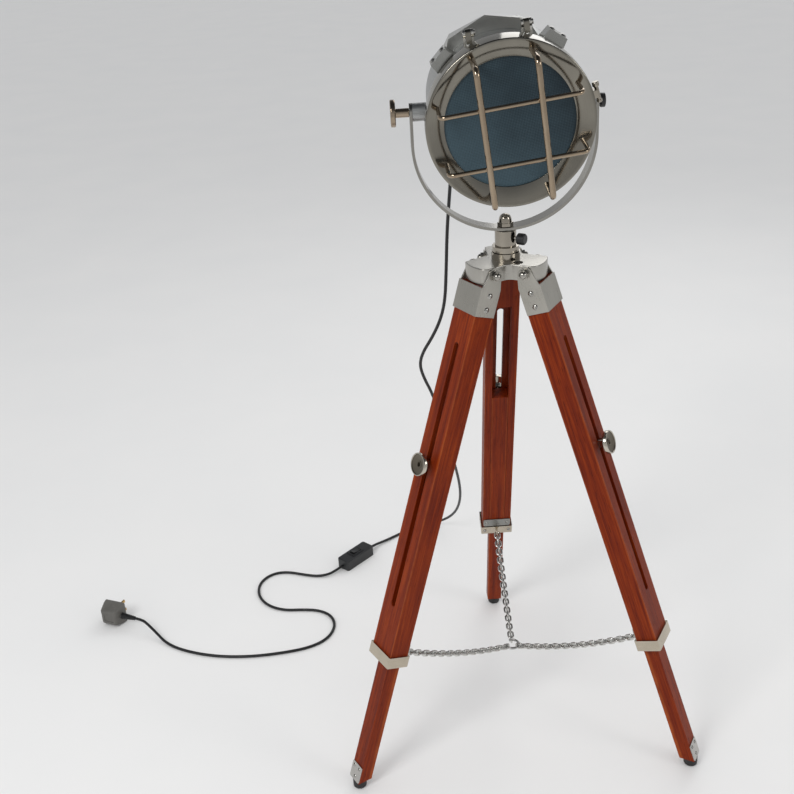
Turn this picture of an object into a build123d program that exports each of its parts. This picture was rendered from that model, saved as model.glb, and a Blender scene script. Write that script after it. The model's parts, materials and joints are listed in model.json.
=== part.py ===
from build123d import *
from math import atan2, ceil, cos, pi, radians, sin, tan
import os

# Tripod spotlight in millimetres. +Z is up and the lamp faces -Y, with the rear leg along +Y.
# The origin is on the floor, in the middle of the box round the three feet.

# Fits
running_gap = 0.05
clear_gap = 0.3
cut_over = 2.0

# Stance of the tripod
pivot_height = 938.0
pivot_radius = 45.0
stance_radius = 365.0
leg_azimuths = {"rear": 90.0, "left": 210.0, "right": 330.0}

# Upper leg: a wooden channel, open to the inside, with a long slot in its outer board
leg_width = 58.0
leg_depth = 37.0
leg_top = 22.0
leg_end = 716.5
face_board = 10.0
groove_width = 31.0
groove_top = 97.5
slot_width = 11.5
slot_top = 122.5
slot_bottom = 611.0

# Leg cap: a folded sheet with two ears on the pivot bolt
cap_sheet = 2.5
cap_bottom = 69.5
cap_screw_inset = 12.0
ear_r = 13.0

# Screws
screw_shank_r = 2.2
screw_head_r = 5.0
screw_head_height = 2.4
wood_screw_length = 16.0

# Collar at the lower end of the upper leg, with a staple for the chain
collar_wall = 3.5
collar_height = 21.0
collar_drop = 2.0
collar_edge = 2.0
staple_r = 6.0
staple_wire_r = 1.6

# Inner leg, its clamp knob and its foot
inner_top = 317.5
knob_place_rear = 331.0
knob_place_left = 340.0
knob_place_right = 322.0
knob_stud_r = 4.0
knob_stud_depth = 18.0
knob_hub_r = 8.0
knob_hub_length = 11.0
knob_r = 20.0
knob_rim = 3.5
knob_flare = 6.0
knob_dish = 5.0
knob_eye_r = 2.6
foot_plate_rise = 51.6
foot_plate_length = 34.0
foot_plate_sheet = 1.8
foot_plate_edge = 3.0
foot_screw_head_r = 3.6
foot_screw_head_height = 1.8
foot_screw_length = 12.0
foot_r = 12.5
foot_height = 18.0
foot_edge = 4.0

# Tripod plate with three lobes, the pivot bolts and the post
plate_r = 68.0
plate_thickness = 26.0
plate_edge = 1.5
plate_corner_r = 4.0
plate_notch_r = 14.0
cable_hole_r = 8.0
cable_hole_place = 28.6
cable_hole_wall = 4.2
bolt_r = 4.0
bolt_head_r = 7.5
bolt_head_height = 5.0
post_r = 17.5
post_height = 49.0
flange_r = 23.5
flange_height = 12.0
flange_step = 1.5
flange_step_height = 9.0
flange_groove = 1.0
post_edge = 1.0
spigot_r = 10.0
spigot_length = 30.0

# Thumb knob that locks the pan
lock_azimuth = -36.0
lock_drop = 14.0
lock_stud_r = 3.0
lock_stud_show = 6.0
lock_knob_r = 9.5
lock_knob_length = 13.0
lock_knob_edge = 2.0

# Yoke: a flat strap bent to a U, on the spigot, under a dome nut
tilt_rise = 195.0
strap_radius = 141.0
strap_sheet = 4.5
strap_width = 28.0
thread_r = 6.0
nut_r = 13.0
nut_height = 6.0
nut_dome_r = 10.5
nut_dome_height = 14.0

# Tilt screws: a large disc knob on the left and a small black one on the right
tilt_stud_r = 4.0
tilt_hub_r = 7.0
tilt_knob_r = 21.0
tilt_knob_thickness = 8.0
tilt_knob_standoff = 21.0
tilt_knob_edge = 2.0
tilt_nut_r = 11.0
tilt_nut_thickness = 8.0

# Head: it looks down a little and sits a little turned in its trunnions
head_tilt = -5.0
head_turn = 7.0
drum_r = 115.0
drum_wall = 2.0
drum_back = -78.0
parting = 66.0
boss_r = 14.0
rear_flange = 2.5
rear_dish = 18.0
rear_dish_r = 88.0
rear_sheet = 2.0

# Front door: ring, guard and glass
rim_front = 100.0
rim_r = 126.0
rim_sheet = 2.5
rim_round = 2.2
rim_lip = 5.0
rim_recess = 12.0
glass_show_r = 97.7
glass_seat = 3.0
glass_thickness = 4.0
glass_bevel = 0.8
retainer_height = 2.4
retainer_width = 2.2
guard_stand = 52.0
guard_bend = 9.0
guard_pitch = 43.0
guard_reach = 111.0
upright_r = 4.6
crossbar_r = 3.4
weld_depth = 0.6

# Hinge of the door: two knuckles on the ring's top between cheeks on the drum
hinge_place = 42.0
hinge_rise = 8.0
hinge_eye_r = 6.0
hinge_pin_r = 2.5
hinge_pin_head_r = 4.0
hinge_pin_head = 2.5
knuckle_width = 8.0
cheek_sheet = 3.5
cheek_length = 20.0

# Vents on the drum: a gabled hood at the rear and two boxes farther forward
hood_r = 139.0
hood_shoulder_r = 133.0
hood_back_r = 122.0
hood_shoulder_angle = 27.0
hood_angle = 40.0
hood_turn = 4.0
hood_sheet = 1.6
hood_front = -6.0
box_angle = 41.0
box_width = 40.0
box_length = 34.0
box_rise = 22.0
box_taper = 8.0
box_front = 48.0
box_screw_pitch = 20.0

# Lamp inside the head
holder_r = 21.0
holder_length = 34.0
bulb_r = 34.0
bulb_neck_r = 15.0
bulb_neck = 22.0

# Cord gland in the rear cover
gland_place = (-70.0, -62.0)
gland_r = 10.0
gland_length = 16.0
gland_nose_r = 7.0
gland_nose = 10.0

# Chain: links of round wire from the collars to an open ring in the middle
link_wire_r = 1.9
link_length = 11.0
link_width = 6.2
link_play = 0.4
chain_sag = 10.0
hook_height = 160.0
hook_r = 13.0
hook_wire_r = 2.5
hook_gap_azimuth = 155.0
hook_gap_angle = 90.0

# Cord, switch and plug. The cord's points are places, chosen to follow the cord from the lamp to the plug.
cord_r = 3.1
cord_lead = 20.0
bend_share = 0.45
switch_centre = (-318.0, 469.0)
switch_heading = (-0.688, -0.726)
switch_length = 92.0
switch_width = 36.0
switch_height = 26.0
switch_edge = 5.0
switch_cord_height = 10.0
rocker_length = 26.0
rocker_width = 13.0
rocker_end_gap = 1.2
rocker_rise = 4.0
rocker_depth = 3.0
rocker_dip = 1.5
rocker_tilt = 7.0
rocker_axle_r = 1.5
rocker_axle_bearing = 3.0
plug_heading = (-0.92, 0.39)
plug_start = (-823.0, 259.0)
plug_length = 52.0
plug_width = 50.0
plug_depth = 36.0
plug_flange = 8.0
plug_edge = 6.0
plug_taper = 14.0
plug_sleeve_r = 6.0
plug_sleeve_length = 34.0
pin_length = 20.0
pin_blade_width = 6.4
pin_blade_thickness = 4.0
earth_pin_width = 8.0
pin_row_place = 18.0
pin_spacing = 22.2

# Places worked out from the sizes above
lean = atan2(stance_radius - pivot_radius, pivot_height)
inner_offset = -face_board / 2
foot_radius = stance_radius + inner_offset / cos(lean) - foot_height / 2 * tan(lean)
leg_reach = pivot_height / cos(lean)
foot_plate_top = leg_reach - foot_plate_rise
knob_places = {"rear": knob_place_rear, "left": knob_place_left, "right": knob_place_right}
axis_y = -foot_radius / 4
axis_plane = Plane((0, axis_y, 0))
inner_width = groove_width - 2 * clear_gap
inner_depth = leg_depth - face_board - 2 * clear_gap
plate_top = pivot_height + plate_thickness / 2
post_top = plate_top + post_height
lock_height = post_top - lock_drop
tilt_height = post_top + tilt_rise
lobe_width = leg_width - 2 * clear_gap
strap_bottom = post_top + clear_gap
strap_centre = strap_bottom + strap_sheet + strap_radius
boss_face = strap_radius - clear_gap

head_forward = Vector(0, -cos(radians(head_tilt)), sin(radians(head_tilt)))
head_level_up = Vector(0, sin(radians(head_tilt)), cos(radians(head_tilt)))
head_right = Vector(1, 0, 0) * cos(radians(head_turn)) + head_level_up * sin(radians(head_turn))
tilt_centre = Vector(0, axis_y, tilt_height)
head_plane = Plane(origin=tilt_centre, x_dir=head_right, z_dir=head_forward)
head_section = Plane(origin=tilt_centre, x_dir=head_right, z_dir=-head_plane.y_dir)
head_axis = Axis(tilt_centre, head_forward)

os.makedirs("parts", exist_ok=True)


def save(part, label):
    """Labels one finished piece and writes its file."""
    part.label = label
    export_step(part, f"parts/{label}.step")


def leg_frame(azimuth):
    """Frame of a leg at its pivot: x along the bolt, y up the leg and z out of its outer face."""
    radial = Vector(cos(radians(azimuth)), sin(radians(azimuth)), 0)
    tangent = Vector(-radial.Y, radial.X, 0)
    origin = Vector(0, axis_y, pivot_height) + radial * pivot_radius
    return Plane(origin=origin, x_dir=tangent, z_dir=radial * cos(lean) + Vector(0, 0, sin(lean)))


def place(frame, x, y, z):
    """A frame's own coordinates as a point of the part."""
    return frame.origin + frame.x_dir * x + frame.y_dir * y + frame.z_dir * z


def cap_screw_planes(frame):
    """Planes on the outside of the cap's two ears, one for each wood screw."""
    planes = []
    for side in (-1, 1):
        for down in (leg_top + cap_screw_inset, cap_bottom - cap_screw_inset):
            origin = place(frame, side * (leg_width / 2 + cap_sheet), -down, 0)
            planes.append(Plane(origin=origin, z_dir=frame.x_dir * side))
    return planes


def foot_screw_points():
    """Places of the three screws in a foot plate, across and up the leg from the plate's middle."""
    across = inner_width / 2 - 2 * foot_screw_head_r
    along = foot_plate_length / 2 - 2 * foot_screw_head_r
    return [(-across, along), (across, along), (0, -along)]


def dome_screws(planes, shank_r, shank_length, head_r, head_height):
    """Round-headed screws: a shank behind each plane and a domed head in front of it."""
    head_bow = (head_r**2 + head_height**2) / (2 * head_height)
    with BuildPart() as screws:
        with BuildSketch(*planes):
            Circle(shank_r)
        extrude(amount=-shank_length)
        for plane in planes:
            with BuildSketch(Plane(origin=plane.origin, x_dir=plane.x_dir, z_dir=-plane.y_dir)):
                with BuildLine():
                    Line((0, 0), (head_r, 0))
                    RadiusArc((head_r, 0), (0, head_height), -head_bow)
                    Line((0, head_height), (0, 0))
                make_face()
            revolve(axis=Axis(plane.origin, plane.z_dir))
    return screws.part


def build_leg(side, azimuth):
    """Upper leg, inner leg and foot of one leg, hung on its pivot bolt."""
    frame = leg_frame(azimuth)
    ear_plane = Plane(origin=frame.origin, x_dir=frame.z_dir, z_dir=frame.x_dir)
    back = frame.offset(-leg_depth / 2)
    front = frame.offset(leg_depth / 2)
    screw_planes = cap_screw_planes(frame)

    with BuildPart() as channel:
        with BuildSketch(back):
            with Locations((0, -(leg_top + leg_end) / 2)):
                Rectangle(leg_width, leg_end - leg_top)
        extrude(amount=leg_depth)
        with BuildSketch(back):
            with Locations((0, -(groove_top + leg_end) / 2)):
                Rectangle(groove_width, leg_end - groove_top)
        extrude(amount=leg_depth - face_board, mode=Mode.SUBTRACT)
        with BuildSketch(front):
            with Locations((0, -(slot_top + slot_bottom) / 2)):
                SlotOverall(slot_bottom - slot_top, slot_width, rotation=90)
        extrude(amount=-face_board - cut_over, mode=Mode.SUBTRACT)
        with BuildSketch(*screw_planes):
            Circle(screw_shank_r)
        extrude(amount=-cap_sheet - wood_screw_length, mode=Mode.SUBTRACT)
    save(channel.part, f"leg_channel_{side}")

    with BuildPart() as cap:
        with BuildSketch(ear_plane.offset(leg_width / 2), ear_plane.offset(-leg_width / 2 - cap_sheet)):
            Circle(ear_r)
            with BuildLine():
                Polyline((-ear_r, 0), (ear_r, 0), (leg_depth / 2, leg_top), (leg_depth / 2, cap_bottom),
                         (-leg_depth / 2, cap_bottom), (-leg_depth / 2, leg_top), close=True)
            make_face()
        extrude(amount=cap_sheet)
        with BuildSketch(front):
            with Locations((0, -(leg_top + cap_bottom) / 2)):
                Rectangle(leg_width + 2 * cap_sheet, cap_bottom - leg_top)
        extrude(amount=cap_sheet)
        with BuildSketch(ear_plane.offset(-leg_width / 2 - cap_sheet)):
            Circle(bolt_r + running_gap)
        extrude(amount=leg_width + 2 * cap_sheet, mode=Mode.SUBTRACT)
        with BuildSketch(*screw_planes):
            Circle(screw_shank_r + running_gap)
        extrude(amount=-cap_sheet, mode=Mode.SUBTRACT)
    save(cap.part, f"leg_cap_{side}")

    cap_screws = dome_screws(screw_planes, screw_shank_r, cap_sheet + wood_screw_length,
                             screw_head_r, screw_head_height)
    save(cap_screws, f"leg_screws_{side}")

    collar_bottom = leg_end + collar_drop
    collar_outer = (leg_width + 2 * collar_wall, leg_depth + 2 * collar_wall)
    collar_plane = Plane(origin=place(frame, 0, -collar_bottom, 0), x_dir=frame.x_dir, z_dir=frame.y_dir)
    staple_centre = place(frame, 0, -(collar_bottom - collar_height / 2),
                          -(leg_depth / 2 + collar_wall + staple_r - staple_wire_r))
    with BuildPart() as collar:
        with BuildSketch(collar_plane):
            RectangleRounded(*collar_outer, collar_edge)
        extrude(amount=collar_height)
        with Locations(Plane(origin=staple_centre, x_dir=frame.z_dir, z_dir=frame.x_dir)):
            Torus(staple_r, staple_wire_r)
        with BuildSketch(collar_plane):
            Rectangle(leg_width, leg_depth)
        extrude(amount=collar_height, mode=Mode.SUBTRACT)
    save(collar.part, f"leg_collar_{side}")

    inner_frame = frame.offset(inner_offset)
    inner_face = frame.offset(inner_offset + inner_depth / 2)
    plate_middle = foot_plate_top + foot_plate_length / 2
    foot_screw_planes = [
        Plane(origin=place(frame, x, y - plate_middle, inner_offset + inner_depth / 2 + foot_plate_sheet),
              x_dir=frame.x_dir, z_dir=frame.z_dir)
        for x, y in foot_screw_points()
    ]
    knob_plane = Plane(origin=place(frame, 0, -knob_places[side], leg_depth / 2 + clear_gap),
                       x_dir=frame.x_dir, z_dir=frame.z_dir)
    stud_length = clear_gap + leg_depth / 2 - (inner_offset + inner_depth / 2) + knob_stud_depth

    with BuildPart() as inner_leg:
        with BuildSketch(inner_frame.offset(-inner_depth / 2)):
            with Locations((0, -(inner_top + leg_reach) / 2)):
                Rectangle(inner_width, leg_reach - inner_top)
        extrude(amount=inner_depth)
        split(bisect_by=Plane.XY.offset(foot_height), keep=Keep.TOP)
        with BuildSketch(knob_plane):
            Circle(knob_stud_r + running_gap)
        extrude(amount=-stud_length, mode=Mode.SUBTRACT)
        with BuildSketch(*foot_screw_planes):
            Circle(screw_shank_r)
        extrude(amount=-foot_plate_sheet - foot_screw_length, mode=Mode.SUBTRACT)
    save(inner_leg.part, f"inner_leg_{side}")

    with BuildPart() as knob:
        section = Plane(origin=knob_plane.origin, x_dir=knob_plane.x_dir, z_dir=-knob_plane.y_dir)
        rim_base = knob_hub_length + knob_flare
        with BuildSketch(section):
            with BuildLine():
                Polyline((0, -stud_length), (knob_stud_r, -stud_length), (knob_stud_r, 0), (knob_hub_r, 0),
                         (knob_hub_r, knob_hub_length), (knob_r, rim_base), (knob_r, rim_base + knob_rim),
                         (knob_r - knob_rim / 2, rim_base + knob_rim),
                         (knob_eye_r, rim_base + knob_rim - knob_dish),
                         (knob_eye_r, knob_hub_length), (0, knob_hub_length), close=True)
            make_face()
        revolve(axis=Axis(knob_plane.origin, knob_plane.z_dir))
    save(knob.part, f"leg_knob_{side}")

    with BuildPart() as foot_plate:
        with BuildSketch(inner_face):
            with Locations((0, -plate_middle)):
                RectangleRounded(inner_width, foot_plate_length, foot_plate_edge)
                with Locations(*foot_screw_points()):
                    Circle(screw_shank_r + running_gap, mode=Mode.SUBTRACT)
        extrude(amount=foot_plate_sheet)
    save(foot_plate.part, f"foot_plate_{side}")

    foot_screws = dome_screws(foot_screw_planes, screw_shank_r, foot_plate_sheet + foot_screw_length,
                              foot_screw_head_r, foot_screw_head_height)
    save(foot_screws, f"foot_screws_{side}")

    foot_spot = axis_plane.origin + Vector(cos(radians(azimuth)), sin(radians(azimuth)), 0) * foot_radius
    with BuildPart() as foot:
        with BuildSketch(Plane(foot_spot)):
            Circle(foot_r)
        extrude(amount=foot_height)
        fillet(foot.edges().group_by(Axis.Z)[0], foot_edge)
    save(foot.part, f"foot_{side}")
    return staple_centre - frame.z_dir * staple_r


staple_points = {side: build_leg(side, azimuth) for side, azimuth in leg_azimuths.items()}

# Tripod plate: three rounded lobes, each bored across for a leg's pivot bolt
leg_frames = [leg_frame(azimuth) for azimuth in leg_azimuths.values()]
with BuildPart() as tripod_plate:
    with BuildSketch(axis_plane.offset(plate_top - plate_thickness)) as trefoil:
        with PolarLocations(0, len(leg_azimuths), start_angle=leg_azimuths["rear"]):
            Rectangle(plate_r, lobe_width, align=(Align.MIN, Align.CENTER))
        Circle(plate_r, mode=Mode.INTERSECT)
        by_radius = trefoil.vertices().sort_by_distance(axis_plane.origin)
        fillet(by_radius[len(leg_azimuths):], plate_corner_r)
        notches = trefoil.vertices().sort_by_distance(axis_plane.origin)[: len(leg_azimuths)]
        fillet(notches, plate_notch_r)
    extrude(amount=plate_thickness)
    fillet(tripod_plate.edges().group_by(Axis.Z)[-1], plate_edge)
    for frame in leg_frames:
        with BuildSketch(Plane(origin=place(frame, -leg_width, 0, 0), z_dir=frame.x_dir)):
            Circle(bolt_r + running_gap)
        extrude(amount=2 * leg_width, mode=Mode.SUBTRACT)
    with BuildSketch(axis_plane.offset(plate_top)):
        with PolarLocations(0, 1, start_angle=leg_azimuths["right"]):
            with Locations((cable_hole_place, cable_hole_r + cable_hole_wall - lobe_width / 2)):
                Circle(cable_hole_r)
    extrude(amount=-plate_thickness, mode=Mode.SUBTRACT)
save(tripod_plate.part, "tripod_plate")

# Pivot bolts: a head on one ear and a nut on the other
bolt_half = leg_width / 2 + cap_sheet + running_gap
with BuildPart() as leg_pivot_bolts:
    for frame in leg_frames:
        bolt_plane = Plane(origin=place(frame, -bolt_half, 0, 0), z_dir=frame.x_dir)
        with BuildSketch(bolt_plane):
            Circle(bolt_r)
        extrude(amount=2 * bolt_half)
        with BuildSketch(bolt_plane.offset(-bolt_head_height)):
            Circle(bolt_head_r)
        extrude(amount=bolt_head_height)
        with BuildSketch(bolt_plane.offset(2 * bolt_half)):
            RegularPolygon(bolt_head_r, 6)
        extrude(amount=bolt_head_height)
save(leg_pivot_bolts.part, "leg_pivot_bolts")

# Post: a flanged tube on the plate, with the spigot of the yoke in its bore
lock_out = Vector(cos(radians(lock_azimuth)), sin(radians(lock_azimuth)), 0)
lock_plane = Plane(origin=Vector(0, axis_y, lock_height) + lock_out * post_r, z_dir=lock_out)
with BuildPart() as post:
    with BuildSketch(axis_plane.offset(plate_top)):
        Circle(flange_r)
    extrude(amount=flange_height)
    with BuildSketch(axis_plane.offset(plate_top + flange_height + flange_groove)):
        Circle(flange_r - flange_step)
    extrude(amount=flange_step_height)
    with BuildSketch(axis_plane.offset(plate_top)):
        Circle(post_r)
    extrude(amount=post_top - plate_top)
    chamfer(post.edges().group_by(Axis.Z)[-1], post_edge)
    with BuildSketch(axis_plane.offset(post_top)):
        Circle(spigot_r + running_gap)
    extrude(amount=-spigot_length - clear_gap, mode=Mode.SUBTRACT)
    with BuildSketch(lock_plane):
        Circle(lock_stud_r + running_gap)
    extrude(amount=-post_r + spigot_r, mode=Mode.SUBTRACT)
save(post.part, "post")

with BuildPart() as pan_lock_knob:
    with BuildSketch(lock_plane.offset(-(post_r - spigot_r - clear_gap))):
        Circle(lock_stud_r)
    extrude(amount=post_r - spigot_r - clear_gap + lock_stud_show)
    with BuildSketch(lock_plane.offset(lock_stud_show)):
        RegularPolygon(lock_knob_r, 12)
    extrude(amount=lock_knob_length)
    chamfer(pan_lock_knob.faces().sort_by(Axis(lock_plane.origin, lock_out))[-1].edges(), lock_knob_edge)
save(pan_lock_knob.part, "pan_lock_knob")

# Yoke: strap, spigot and dome nut
yoke_plane = Plane(origin=(0, axis_y, 0), x_dir=(1, 0, 0), z_dir=(0, -1, 0))
strap_outer = strap_radius + strap_sheet
arm_length = tilt_height + strap_width / 2 - strap_centre
with BuildPart() as yoke_strap:
    with BuildSketch(yoke_plane):
        with Locations((0, strap_centre)):
            Circle(strap_outer)
            Rectangle(2 * strap_outer, arm_length, align=(Align.CENTER, Align.MIN))
            Circle(strap_radius, mode=Mode.SUBTRACT)
            Rectangle(2 * strap_radius, strap_outer, align=(Align.CENTER, Align.MIN), mode=Mode.SUBTRACT)
    extrude(amount=strap_width / 2, both=True)
    arm_corners = yoke_strap.edges().filter_by(Axis.X).group_by(Axis.Z)[-1]
    fillet(arm_corners, strap_width / 2 - running_gap)
    with BuildSketch(Plane(origin=(-strap_outer, axis_y, tilt_height), z_dir=(1, 0, 0))):
        Circle(tilt_stud_r + running_gap)
    extrude(amount=2 * strap_outer, mode=Mode.SUBTRACT)
    with BuildSketch(axis_plane.offset(strap_bottom)):
        Circle(thread_r)
    extrude(amount=strap_sheet + cut_over, mode=Mode.SUBTRACT)
save(yoke_strap.part, "yoke_strap")

nut_seat = strap_centre - (strap_radius**2 - nut_r**2) ** 0.5
with BuildPart() as yoke_spigot:
    with BuildSketch(axis_plane.offset(post_top - spigot_length)):
        Circle(spigot_r)
    extrude(amount=spigot_length + clear_gap)
    with BuildSketch(axis_plane.offset(strap_bottom)):
        Circle(thread_r)
    extrude(amount=nut_seat + nut_height - strap_bottom)
save(yoke_spigot.part, "yoke_spigot")

with BuildPart() as dome_nut:
    with BuildSketch(axis_plane.offset(nut_seat)):
        RegularPolygon(nut_r, 6)
    extrude(amount=nut_height)
    with BuildSketch(Plane(origin=(0, axis_y, nut_seat + nut_height), x_dir=(1, 0, 0), z_dir=(0, -1, 0))):
        with BuildLine():
            Line((0, 0), (nut_dome_r, 0))
            Spline((nut_dome_r, 0), (0, nut_dome_height), tangents=((0, 1), (-1, 0)))
            Line((0, nut_dome_height), (0, 0))
        make_face()
    revolve(axis=Axis((0, axis_y, 0), (0, 0, 1)))
    with BuildSketch(axis_plane.offset(nut_seat)):
        Circle(thread_r)
    extrude(amount=nut_height, mode=Mode.SUBTRACT)
save(dome_nut.part, "dome_nut")


def tilt_screw(side, standoff, disc_r, disc_thickness):
    """A hand screw on the tilt axis: its stud is the pivot of the head in the yoke."""
    outside = Plane(origin=tilt_centre + Vector(side * (strap_outer + clear_gap), 0, 0), z_dir=(side, 0, 0))
    stud_length = strap_outer + clear_gap - drum_r
    with BuildPart() as screw:
        with BuildSketch(outside):
            Circle(tilt_stud_r)
        extrude(amount=-stud_length)
        with BuildSketch(outside):
            Circle(tilt_hub_r)
        extrude(amount=standoff)
        with BuildSketch(outside.offset(standoff)):
            Circle(disc_r)
        extrude(amount=disc_thickness)
        rims = screw.edges().filter_by(GeomType.CIRCLE).group_by(SortBy.RADIUS)[-1]
        fillet(rims, tilt_knob_edge)
    return screw.part


save(tilt_screw(-1, tilt_knob_standoff, tilt_knob_r, tilt_knob_thickness), "tilt_knob_left")
save(tilt_screw(1, tilt_hub_r - tilt_stud_r, tilt_nut_r, tilt_nut_thickness), "tilt_knob_right")

# Drum: an open cylinder with a bored boss on each side for the tilt screws
boss_root = (drum_r**2 - boss_r**2) ** 0.5 - drum_wall / 2
with BuildPart() as drum:
    with BuildSketch(head_plane.offset(drum_back)):
        Circle(drum_r)
        Circle(drum_r - drum_wall, mode=Mode.SUBTRACT)
    extrude(amount=parting - drum_back)
    for side in (-1, 1):
        boss_plane = Plane(origin=tilt_centre, z_dir=(side, 0, 0))
        with BuildSketch(boss_plane.offset(boss_root)):
            Circle(boss_r)
        extrude(amount=boss_face - boss_root)
        with BuildSketch(boss_plane.offset(drum_r - drum_wall - cut_over)):
            Circle(tilt_stud_r + running_gap)
        extrude(amount=boss_face, mode=Mode.SUBTRACT)
save(drum.part, "drum")

# Rear cover: a flange on the drum's rim and a dished middle, bored for the gland and the lampholder's nut
dish_back = drum_back - rear_flange - rear_dish
with BuildPart() as rear_cover:
    with BuildSketch(head_section):
        with BuildLine():
            Polyline((0, dish_back), (rear_dish_r, dish_back), (drum_r - drum_wall, drum_back - rear_flange),
                     (drum_r, drum_back - rear_flange), (drum_r, drum_back),
                     (drum_r - drum_wall - rear_sheet, drum_back),
                     (rear_dish_r - rear_sheet, dish_back + rear_sheet), (0, dish_back + rear_sheet),
                     close=True)
        make_face()
    revolve(axis=head_axis)
    with BuildSketch(head_plane.offset(dish_back)):
        with Locations(gland_place):
            Circle(cord_r)
    extrude(amount=rear_sheet, mode=Mode.SUBTRACT)
save(rear_cover.part, "rear_cover")

with BuildPart() as cord_gland:
    with BuildSketch(head_plane.offset(dish_back - gland_length)):
        with Locations(gland_place):
            RegularPolygon(gland_r, 6)
    extrude(amount=gland_length)
    with BuildSketch(head_plane.offset(dish_back - gland_length - gland_nose)):
        with Locations(gland_place):
            Circle(gland_nose_r)
    extrude(amount=gland_nose)
save(cord_gland.part, "cord_gland")

# Lampholder and bulb on the head's axis
holder_front = dish_back + rear_sheet + holder_length
with BuildPart() as lampholder:
    with BuildSketch(head_plane.offset(dish_back + rear_sheet)):
        Circle(holder_r)
    extrude(amount=holder_length)
save(lampholder.part, "lampholder")

bulb_centre = holder_front + bulb_neck + (bulb_r**2 - bulb_neck_r**2) ** 0.5
with BuildPart() as bulb:
    with BuildSketch(head_section):
        with Locations((0, bulb_centre)):
            Circle(bulb_r)
        with Locations((0, holder_front)):
            Rectangle(2 * bulb_neck_r, bulb_centre - holder_front, align=(Align.CENTER, Align.MIN))
        split(bisect_by=Plane.YZ, keep=Keep.TOP)
    revolve(axis=head_axis)
save(bulb.part, "bulb")


def round_point(radius, angle):
    """A place on the drum's end view from its radius and its angle off the head's top."""
    return radius * sin(radians(angle)), radius * cos(radians(angle))


def hood_outline(ridge_r, shoulder_r):
    """Corners of the hood's end view: foot, shoulder, ridge, shoulder and foot."""
    root_r = drum_r - drum_wall / 2
    corners = [(root_r, hood_angle), (shoulder_r, hood_shoulder_angle), (ridge_r, 0),
               (shoulder_r, -hood_shoulder_angle), (root_r, -hood_angle)]
    return [round_point(radius, angle - hood_turn) for radius, angle in corners]


# Vent hood: a gabled sheet cover on the drum's top, closed in front, whose roof falls to the drum's back
hood_gable = hood_outline(hood_r, hood_shoulder_r)
hood_tail = hood_outline(hood_back_r, hood_back_r)
with BuildPart() as vent_hood:
    for height, outline in ((drum_back, hood_tail), (hood_front, hood_gable)):
        with BuildSketch(head_plane.offset(height)):
            with BuildLine():
                Polyline(*outline, close=True)
            make_face()
    loft(ruled=True)
    for height, outline in ((drum_back + hood_sheet, hood_tail), (hood_front - hood_sheet, hood_gable)):
        with BuildSketch(head_plane.offset(height)):
            with BuildLine():
                Polyline(*outline, close=True)
            make_face()
            offset(amount=-hood_sheet, kind=Kind.INTERSECTION)
    loft(ruled=True, mode=Mode.SUBTRACT)
    with BuildSketch(head_plane.offset(drum_back)):
        Circle(drum_r)
    extrude(amount=hood_front - drum_back, mode=Mode.SUBTRACT)
save(vent_hood.part, "vent_hood")


def box_planes():
    """Planes on the drum's skin under the two vent boxes: x round the drum, y along it to the front."""
    planes = []
    for angle in (box_angle, -box_angle):
        across, up = round_point(drum_r, angle)
        out = head_plane.x_dir * (across / drum_r) + head_plane.y_dir * (up / drum_r)
        origin = place(head_plane, across, up, box_front - box_length / 2)
        planes.append(Plane(origin=origin, x_dir=out.cross(head_forward) * -1, z_dir=out))
    return planes


# Vent boxes: small tapered housings, each with two screws in its top
with BuildPart() as vent_boxes:
    with BuildSketch(*[plane.offset(-box_rise / 2) for plane in box_planes()]):
        Rectangle(box_width, box_length)
    extrude(amount=box_rise / 2 + box_rise, taper=box_taper)
    with BuildSketch(head_plane.offset(drum_back)):
        Circle(drum_r)
    extrude(amount=parting - drum_back, mode=Mode.SUBTRACT)
    for plane in box_planes():
        with BuildSketch(plane.offset(box_rise)):
            with GridLocations(box_screw_pitch, 0, 2, 1):
                Circle(screw_shank_r)
        extrude(amount=-box_rise, mode=Mode.SUBTRACT)
save(vent_boxes.part, "vent_boxes")
box_screw_planes = [
    Plane(origin=place(plane, across, 0, box_rise), x_dir=plane.x_dir, z_dir=plane.z_dir)
    for plane in box_planes() for across in (-box_screw_pitch / 2, box_screw_pitch / 2)
]
vent_screws = dome_screws(box_screw_planes, screw_shank_r, box_rise / 2, screw_head_r, screw_head_height)
save(vent_screws, "vent_screws")

# Hinge of the door
hinge_height = rim_r + hinge_rise
hinge_sides = (-hinge_place, hinge_place)


def hinge_profile_plane(across):
    """Plane square to the hinge pin: x to the front and y to the head's top."""
    return Plane(origin=place(head_plane, across, 0, 0), x_dir=head_forward, z_dir=-head_plane.x_dir)


def pin_plane(across):
    """Plane square to the hinge pin, with its origin on the pin."""
    return Plane(origin=place(head_plane, across, hinge_height, parting), z_dir=head_plane.x_dir)


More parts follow.
